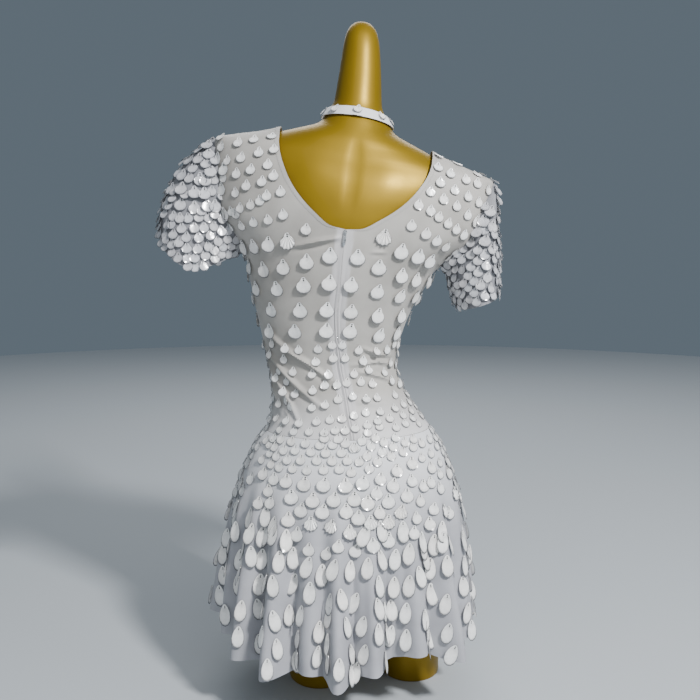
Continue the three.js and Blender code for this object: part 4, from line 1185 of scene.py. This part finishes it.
# Paillettes where the photograph shows them: width in millimetres, shape, pixels of their middles
shownPaillettes = [
    (15.5, "shell", [
        (221.4, 138), (222, 147), (215, 162), (227.6, 161), (215, 180), (224, 178), (220.4, 196.5),
        (231.6, 211.8), (223.5, 213), (238.5, 143), (254, 140), (272, 137), (242, 158), (259, 153),
        (274, 150), (237, 174), (251.5, 170), (268, 165), (247, 186), (262.5, 182), (274, 176), (235.5, 193),
        (280.5, 192), (267, 196), (260, 201), (251, 205), (241, 208.5), (236, 214), (283, 215), (268, 220),
        (254, 222.5), (242, 226), (438.4, 157.4), (454.2, 162.6), (467.9, 167.4), (482, 174), (438.4, 168),
        (450.8, 174), (465.2, 180), (477.3, 183.7), (487.5, 190.5), (440, 183.1), (430.5, 192.1),
        (454.7, 190.5), (467.6, 196.8), (477.9, 202.6), (485.5, 208), (442.9, 199.5), (418.7, 205.2),
        (430, 211), (456.3, 206.3), (439.1, 217.3), (467.3, 215.2), (448.2, 223.7), (455.8, 229.4)]),
    (17, "shell", [
        (306.8, 229.8), (410.8, 225.8), (425.6, 233.8), (436, 240.8), (463, 234.7), (445.8, 246.8)]),
    (23, "shell", [
        (255, 247), (270, 245), (250.5, 268), (264, 270.5), (284, 268), (307, 262.5), (330, 256.5),
        (257.5, 289.5), (277, 289.5), (303.7, 286), (330, 283.7), (248.5, 285.5), (255, 308), (272, 310.4),
        (300, 311), (327, 310.4), (271, 332), (295.6, 332), (326.6, 331), (245.8, 248), (254.8, 323),
        (357, 258), (378, 268), (400, 276), (414, 280), (426, 281.6), (400.5, 252), (417, 256.5),
        (428.7, 261), (351, 285.5), (377.4, 292), (399.7, 296.5), (414, 297), (350.7, 312), (377, 316),
        (399, 316), (411.5, 314), (350.3, 331.5), (379, 335.7), (395.4, 334), (405.6, 328)]),
    (23.5, "ribbed", [
        (287.7, 242.2), (384, 238)]),
    (14, "shell", [
        (272.5, 344), (285, 349), (298.6, 350), (318, 349), (332.5, 345), (270, 355), (284, 359.5),
        (315.4, 362), (333.4, 358), (279.5, 371), (293.6, 372), (311.8, 374.6), (327.6, 375), (276, 378.5),
        (287.6, 381.6), (324.4, 385.5), (336.7, 385), (283.4, 392), (296, 394.6), (312.6, 391), (338, 399.5),
        (279, 404), (290.4, 407), (313, 408), (325.3, 405.5), (277.3, 419), (287, 421.6), (300, 423.7),
        (316.4, 422), (329.7, 420), (342.5, 419), (280.6, 430), (294.3, 432), (309.3, 432), (324.4, 433),
        (335.3, 431), (342.7, 345), (358.5, 350), (376.3, 352), (385.5, 350), (393, 344), (344.5, 358),
        (363, 361), (390, 363), (354, 374), (368, 370.4), (384, 373), (347.3, 383), (360.6, 382), (372, 384),
        (391, 381), (352, 397), (366, 400), (377, 398.5), (394.3, 395.4), (354.3, 416), (366, 413),
        (380, 412.5), (394.6, 409), (402.7, 405), (377, 422), (389.4, 419), (403, 415.7), (410.8, 411.5),
        (408.7, 403), (345, 431), (355.4, 429), (367, 426), (368, 433), (379, 427), (395.7, 428),
        (404.5, 424), (412, 419), (262, 368), (266, 392), (270, 412), (268, 428), (398, 352), (400, 366),
        (399, 384), (418, 424)]),
    (15, "shell", [
        (281.8, 440.3), (292.2, 442), (305.4, 443.7), (319.9, 445.3), (324.1, 438.5), (337.8, 439),
        (332.4, 444.9), (346.1, 443.7), (353.1, 448.2), (283.9, 450.7), (295.5, 450.7), (311.7, 452.4),
        (325.7, 453.2), (341.1, 452.8), (287.6, 460.2), (301.3, 460.7), (317, 460.7), (332.4, 461.5),
        (347.7, 460.7), (293, 469), (306.7, 470.6), (323.3, 470.2), (339.4, 469.4), (351, 472.7),
        (279.7, 467.7), (277.2, 456.9), (269.8, 453.6), (274.8, 447.4), (273.5, 438.8), (269.8, 444.9),
        (266.5, 440.8), (262.7, 460.2), (271.9, 464.8), (258.2, 447.4), (253.2, 455.7), (362.4, 441.2),
        (375.7, 438.5), (383.6, 442.8), (394.8, 438), (404.3, 442.8), (413, 439.5), (420.9, 443.7),
        (428.7, 440), (355, 448.2), (371.1, 446.6), (381.5, 452.4), (392.7, 447), (403, 452.4),
        (412.6, 447.4), (367.4, 456.5), (359.1, 461.9), (377.8, 462.3), (390.6, 456.5), (369, 468.9),
        (430, 454), (420.9, 458.2), (439.5, 463.1), (439.1, 474.8)]),
    (19.5, "shell", [
        (264, 474.8), (251.5, 479.7), (273.9, 479.7), (411.3, 464), (396.4, 471.4), (430.8, 468.5),
        (380.2, 479.7), (410.9, 481.4), (422.9, 486.4), (430.8, 483), (242.8, 491.3), (268.5, 491.3),
        (259, 503.8), (271, 503.4), (376.5, 493.8), (420, 501.3), (434.1, 509.6), (439.5, 488.8),
        (448.2, 513.7), (378.6, 513.3), (415.5, 518.7), (428.3, 524.5), (413.4, 533.6), (308.8, 550.4),
        (286, 544), (327.6, 554.8), (338.5, 547.4), (356.3, 551.9)]),
    (22, "shell", [
        (286.4, 482.2), (304.6, 485), (324.5, 486), (344.8, 486.8), (363.2, 483.9), (393.5, 486.4),
        (290.9, 498), (312.5, 501.3), (334.5, 500.9), (353.8, 500), (367, 503.8), (387.3, 502.1),
        (406.4, 496.3), (301.7, 511.2), (323.7, 512.9), (345.4, 512), (357.9, 518.7), (288.4, 520.4),
        (297.6, 535.3), (387.7, 541), (372.1, 546.4)]),
    (21.5, "ribbed", [
        (310.4, 524.5), (332, 527.4), (349, 533.6), (369.9, 523.7), (387.7, 522.8), (401.4, 512.9)]),
    (19, "oval", [
        (237.4, 509.6), (249.9, 518.3), (266, 517), (273.9, 527), (235.8, 532), (251.5, 534.5), (263.6, 537),
        (274.3, 535.3), (286.4, 541.1), (365.7, 537), (379.4, 532), (401.4, 532), (442, 532), (421.3, 542.7),
        (464.4, 512.9), (223.8, 554.8), (223.3, 575.6), (219.8, 595.4), (251, 556.8), (262.8, 559.3),
        (241, 559.8), (260.9, 584.5), (271.7, 586.5), (238, 585.5), (256.9, 609.2), (239, 636.9), (242, 611),
        (231.7, 635), (279.6, 562.2), (293, 558.3), (308.8, 568.2), (295, 584.5), (309.3, 593.4),
        (289, 615.1), (301.4, 616.1), (272.7, 621.6), (276.2, 649.3), (298.9, 640.4), (295.5, 661.6),
        (319.2, 632), (317.7, 656.7), (319.2, 678.4), (267.3, 669.5), (334, 570.7), (330, 604.3),
        (340.5, 600.3), (321.7, 575.6), (350.3, 571.6), (355.8, 603.8), (366.6, 568.7), (379.5, 560.8),
        (394.3, 559.8), (408.1, 554.3), (422, 549.4), (432.9, 545), (428.9, 568.7), (445.7, 566.2),
        (442.7, 543), (378.5, 587), (392.8, 587.4), (408.1, 586), (418, 577.6), (428.9, 594.4),
        (468.4, 554.8), (377, 609.7), (388.9, 610.2), (405.2, 613.1), (445.7, 604.2), (345.4, 628),
        (363.2, 627), (378, 634.9), (389.9, 635.9), (405.2, 639.8), (424.5, 620.1), (427.4, 637.9),
        (448.2, 633.4), (349.8, 655.2), (365.1, 655.2), (390.4, 659.6), (407.6, 660.1), (453.6, 655.6),
        (435.8, 657.6), (350.3, 675.4), (357.2, 672.5), (467.5, 613.1), (461.5, 586.5)]),
    (19.5, "shell", [
        (199, 160.1), (208.3, 155), (190.2, 162.4), (207.4, 146.5), (182.4, 176.3), (181.9, 190.1),
        (181.5, 205.4), (194.4, 193.8), (200, 180.4), (205.5, 180.9), (207.4, 206.8), (194.4, 208.6),
        (211, 172.6), (204.6, 194.8), (214.8, 206.8), (166.2, 204.5), (172.2, 178.1), (171.3, 190),
        (222, 190), (224, 170), (218, 160), (226, 214)]),
    (15.5, "shell", [
        (165.3, 214.6), (158.8, 227.1), (173.6, 217), (167.6, 225.3), (173.1, 225.3), (187.9, 218.8),
        (198.1, 218.3), (207.4, 217.9), (180.1, 218.8), (181.9, 229), (194.7, 228.5), (204.1, 228.1),
        (213.8, 226.7), (220.8, 231.8), (187, 237.8), (198.1, 238.2), (209.2, 236.4), (217.5, 241.5),
        (227.2, 239.2), (187, 248.9), (197.2, 249.3), (207.2, 247), (187.5, 258.6), (178.7, 258.6),
        (180.1, 267.8), (172.2, 244.7), (167.6, 240.1), (165.7, 235.5), (236, 240), (231, 227), (173.1, 253),
        (195.3, 258.6), (204.6, 255.8)]),
    (19, "shell", [
        (492.6, 227.3), (477.3, 233.1), (485.2, 241.5), (483.1, 221.6), (475.8, 221.6), (497.3, 191.6),
        (495, 181), (491, 213), (496, 240)]),
    (15.5, "shell", [
        (455.2, 251.5), (463.6, 248.9), (471.5, 243.7), (471.5, 255.2), (477.9, 251), (484.2, 255.2),
        (493.1, 259.4), (463.1, 260.5), (477.9, 261), (447.9, 257.3), (454.2, 262.1), (485.7, 266.8),
        (471.5, 267.3), (462.1, 270), (477.9, 272.6), (493.6, 270.5), (468.4, 275.7), (487.3, 277.8),
        (455.8, 278.4), (446.3, 272.6), (474.2, 281.5), (464.2, 283.6), (495.7, 281), (480.5, 285.7),
        (450.5, 283.1), (490, 288.9), (469.4, 287.8), (455.2, 290), (464.2, 294.7), (475.2, 293.1),
        (484.2, 296.3), (496.8, 292.1), (461, 301.5), (470.5, 299.4), (491.5, 295.7), (454.7, 303)]),
    (13, "shell", [
        (336, 109), (358.5, 109.5), (381, 116.5)]),
]


# Each of them lies on whichever panel is in front there
def shownSpots():
    spots = []
    for size, kind, pixels in shownPaillettes:
        for across, down in pixels:
            eye, ray = pixelRay(across, down)
            best = None
            for name, panel in panels.items():
                hit = panel["tree"].ray_cast(Vector(eye), Vector(ray).normalized())
                if hit[0] is not None and (best is None or hit[3] < best[0]):
                    best = (hit[3], np.array(hit[0]), np.array(hit[1]) * panel["sign"], name)
            if best:
                spots.append((best[1], best[2], size * (1 + 0.03 * chance.uniform(-1, 1)), kind, best[3]))
    return spots


# The rest of a panel goes on in the same rows where the camera can't look at it
def unseen(spots, shown, grazing=0.3, spare=2.2):
    eye = np.array(camera["place"], float)
    taken = np.array([s[0] for s in shown])
    kept = []
    for spot in spots:
        sight = eye - spot[0]
        facing = spot[1] @ sight / np.linalg.norm(sight)
        gap = np.linalg.norm(taken - spot[0], axis=1).min() if len(taken) else 1e3
        if gap > 0.7 * spot[2] and (facing < grazing or gap > spare * spot[2]):
            kept.append(spot)
    return kept


# The way a rigid disc faces where the cloth under it waves: the mean over its own width
def bridged(spot):
    place, normal, size, kind, name = spot
    side = np.cross((0.0, 0.0, 1.0), normal)
    side /= np.linalg.norm(side)
    reach = size * (0.42, 0.42, 0.7)[kindNumbers[kind]]
    around = [place + side * size * 0.42 * x + np.cross(normal, side) * reach * y
              for x, y in ((-1, 0), (1, 0), (0, -1), (0, 1), (0, 0))]
    normals = onCloth(name, around)[1]
    facing = normals.sum(0) + 2 * normal
    return facing / np.linalg.norm(facing)


# The degrees that a disc has to lean out until its rim clears the cloth under it
def clearing(spot, place, normal, upward):
    size, kind, panel = spot[2:]
    side = np.cross(upward, normal)
    shape = discs[kind]
    reach = [(x * size / 2, (y - shape["hole"]) * size / 2) for x, y in shape["outline"][:7]]
    rim = np.array([place + side * x * way + upward * y for x, y in reach for way in (-1, 1)])
    near, out = onCloth(panel, rim)
    under = ((near - rim) * out).sum(1) + scatter["gapMm"]
    fall = np.array([-y for x, y in reach for way in (-1, 1)])
    return np.degrees(np.arctan2(under, np.clip(fall, 1, None))).max()


def hang(name, spots, tilt=scatter["tiltDegrees"], spread=scatter["tiltSpread"], film=pearlFinish):
    normals = np.array([bridged(s) for s in spots])
    sizes = np.array([s[2] for s in spots]) * scatter["grow"]
    kinds = [s[3] for s in spots]
    holes = np.array([discs[kind]["hole"] for kind in kinds]) / 2 * sizes
    # tips point up, and further to the wearer's right the further right they lie
    slant = 0.09 + 0.10 * np.clip([s[0][0] / 100 for s in spots], -1, 1)
    grain = np.stack([slant, 0 * sizes, 1 + 0 * sizes], 1)
    upward = grain - normals * (grain * normals).sum(1, keepdims=True)
    upward /= np.linalg.norm(upward, axis=1, keepdims=True)
    places = np.array([s[0] for s in spots]) + upward * holes[:, None] + normals * scatter["gapMm"]
    steepest = max(tilt, scatter["steepest"])
    lean = np.radians([min(max(tilt, clearing(*each)), steepest) for each in zip(spots, places, normals, upward)])
    mesh = bpy.data.meshes.new(name)
    mesh.from_pydata((places / 1000).tolist(), [], [])
    loose = [scatter["ovalLoose"] if kind == "oval" else 1.0 for kind in kinds]
    numbers = [kindNumbers[kind] for kind in kinds]
    for key, kind, values in (("size", "FLOAT", sizes / 1000), ("kind", "INT", numbers),
                              ("lean", "FLOAT", lean), ("loose", "FLOAT", loose)):
        mesh.attributes.new(key, kind, "POINT").data.foreach_set("value", values)
    for key, values in (("facing", normals), ("upward", upward)):
        mesh.attributes.new(key, "FLOAT_VECTOR", "POINT").data.foreach_set("vector", values.reshape(-1))
    piece = bakeTree(name, linked(name + "Points", mesh), pailletteTree, {
        "Tilt spread": math.radians(spread), "Sway": math.radians(scatter["sway"]),
        "Seed": scatter["seed"],
    }, pearlFinish)
    for number, material in enumerate(piece.data.materials):
        if material == pearlFinish:
            piece.data.materials[number] = film
    print(name, len(spots), "discs,", len(piece.data.polygons), "faces")
    return rideOnDress(piece)


def necklinePoints():
    points = []
    for side in ("back", "front"):
        z, turn = alongNeckline(side, np.linspace(0, 1, 60))
        for mirror in (1, -1):
            points.append(clothAt(onFitted, np.pi - mirror * turn if side == "front" else mirror * turn, z))
    return np.concatenate(points)


neckEdge = necklinePoints()


# Leaves out the discs that would reach over the neckline
def clearOfNeck(spots):
    return [s for s in spots if np.linalg.norm(neckEdge - s[0], axis=1).min() > 0.5 * s[2] + 4]


def bodiceRows(name, low, high):
    spots = rowsOn(name, np.arange(446, 580, 17), 19, 14, jitter=2.5)
    spots += rowsOn(name, np.arange(602, low, 36), 36, 23, jitter=2, ribbedShare=0.06)
    return clearOfNeck(spots + rowsOn(name, np.arange(low, high, 16), 24, 15.5, jitter=1.5))


allShown = shownSpots()


def shownOn(*names):
    return [spot for spot in allShown if spot[4] in names]


# Fills what is left bare with discs that lie as close as scales
def between(spots, shown, apart):
    taken = [s[0] for s in shown]
    kept = []
    for spot in spots:
        if not taken or np.linalg.norm(np.array(taken) - spot[0], axis=1).min() > apart * spot[2]:
            taken.append(spot[0])
            kept.append(spot)
    return kept


backs = ["bodice_back_left", "bodice_back_right"]
shown = shownOn(*backs)
hang("paillettes_bodice_back", shown + unseen([s for name in backs for s in bodiceRows(name, 768, 872)], shown))
hang("paillettes_bodice_front", bodiceRows("bodice_front", 804, 892))


def skirtRows(name):
    spots = rowsOn(name, np.arange(424, 385, -11), 20, 15, jitter=1.5)
    spots += rowsOn(name, np.arange(374, 300, -17), 29, 21.5, jitter=2.5, ribbedShare=0.12)
    return spots + rowsOn(name, np.arange(282, 84, -35), 37, 19, kind="oval", jitter=5)


shown = shownOn("skirt_back")
hang("paillettes_skirt_back", shown + unseen(skirtRows("skirt_back"), shown, 0.45, 1.5))
hang("paillettes_skirt_front", skirtRows("skirt_front"))


def sleeveRows(name, top, middle, low):
    return rowsOn(name, np.arange(top, middle, -7), 6, 18, jitter=1) + rowsOn(
        name, np.arange(middle, low, -6), 5, 15.5, jitter=0.6)


for name, top, middle, low in (("sleeve_left", 890, 806, 676), ("sleeve_right", 876, 776, 596)):
    shown = shownOn(name)
    hang("paillettes_" + name, shown + between(sleeveRows(name, top, middle, low), shown, 0.74),
         tilt=9, spread=10, film=shadedPearlFinish)
shown = shownOn("choker_band")
places, normals = onCloth("choker_band", spreadAlong(panels["choker_band"]["grid"][4], 31, 0.35))
rest = [(p, n, 13, "shell", "choker_band") for p, n in zip(places, normals)]
hang("paillettes_choker", shown + unseen(rest, shown), tilt=6)
for template in [*templates.values(), tieBar, stitchBar, toothBar]:
    bpy.data.objects.remove(template)

print("stage")
studio = {"floor": "#ADB3B8", "backdrop": "#606C76", "floorWide": 4.0}
# Soft panels: place, aim, width, height and power in watts
panelsOfLight = {
    "backPanel": ((0.2, -3.2, 1.7), (0, 0, 0.75), 4.6, 3.2, 38),
    "keySoftbox": ((1.5, -1.9, 2.5), (0, 0, 0.6), 0.36, 0.36, 165),
    "topPanel": ((0, -1.6, 3.2), (0, 0, 0.6), 2.2, 1.4, 14),
    "leftPanel": ((-2.6, -1.3, 1.2), (0, 0, 0.6), 1.3, 2.0, 5),
    "rightPanel": ((2.5, -1.2, 1.4), (0, 0, 0.6), 1.3, 2.0, 14),
    "frontPanel": ((0, 2.4, 2.4), (0, 0, 0.6), 2.2, 1.6, 40),
}

bpy.ops.mesh.primitive_circle_add(vertices=96, radius=studio["floorWide"], fill_type="NGON", location=(0, 0, 0))
floor = bpy.context.object
floor.name = "floor"
# Matt floor paint
floor.data.materials.append(newMaterial("matt painted floor", studio["floor"], Roughness=0.85)[0])
world = bpy.data.worlds.new("studio")
bpy.context.scene.world = world
world.use_nodes = True
backdrop = world.node_tree.nodes["Background"].inputs
backdrop["Color"].default_value, backdrop["Strength"].default_value = linear(studio["backdrop"]), 1.0
for name, (place, aim, wide, tall, power) in panelsOfLight.items():
    light = bpy.data.lights.new(name, "AREA")
    light.shape, light.size, light.size_y, light.energy = "RECTANGLE", wide, tall, power
    lamp = linked(name, light)
    lamp.location = place
    lamp.rotation_euler = (Vector(aim) - Vector(place)).to_track_quat("-Z", "Y").to_euler()

lens = bpy.data.cameras.new("photoCamera")
lens.sensor_width = 36
lens.lens = lens.sensor_width * camera["focal"] / (2 * camera["middle"])
view = linked("photoCamera", lens)
view.location = [v / 1000 for v in camera["place"]]
view.rotation_euler = (math.radians(90 - camera["down"]), 0, 0)
bpy.context.scene.camera = view
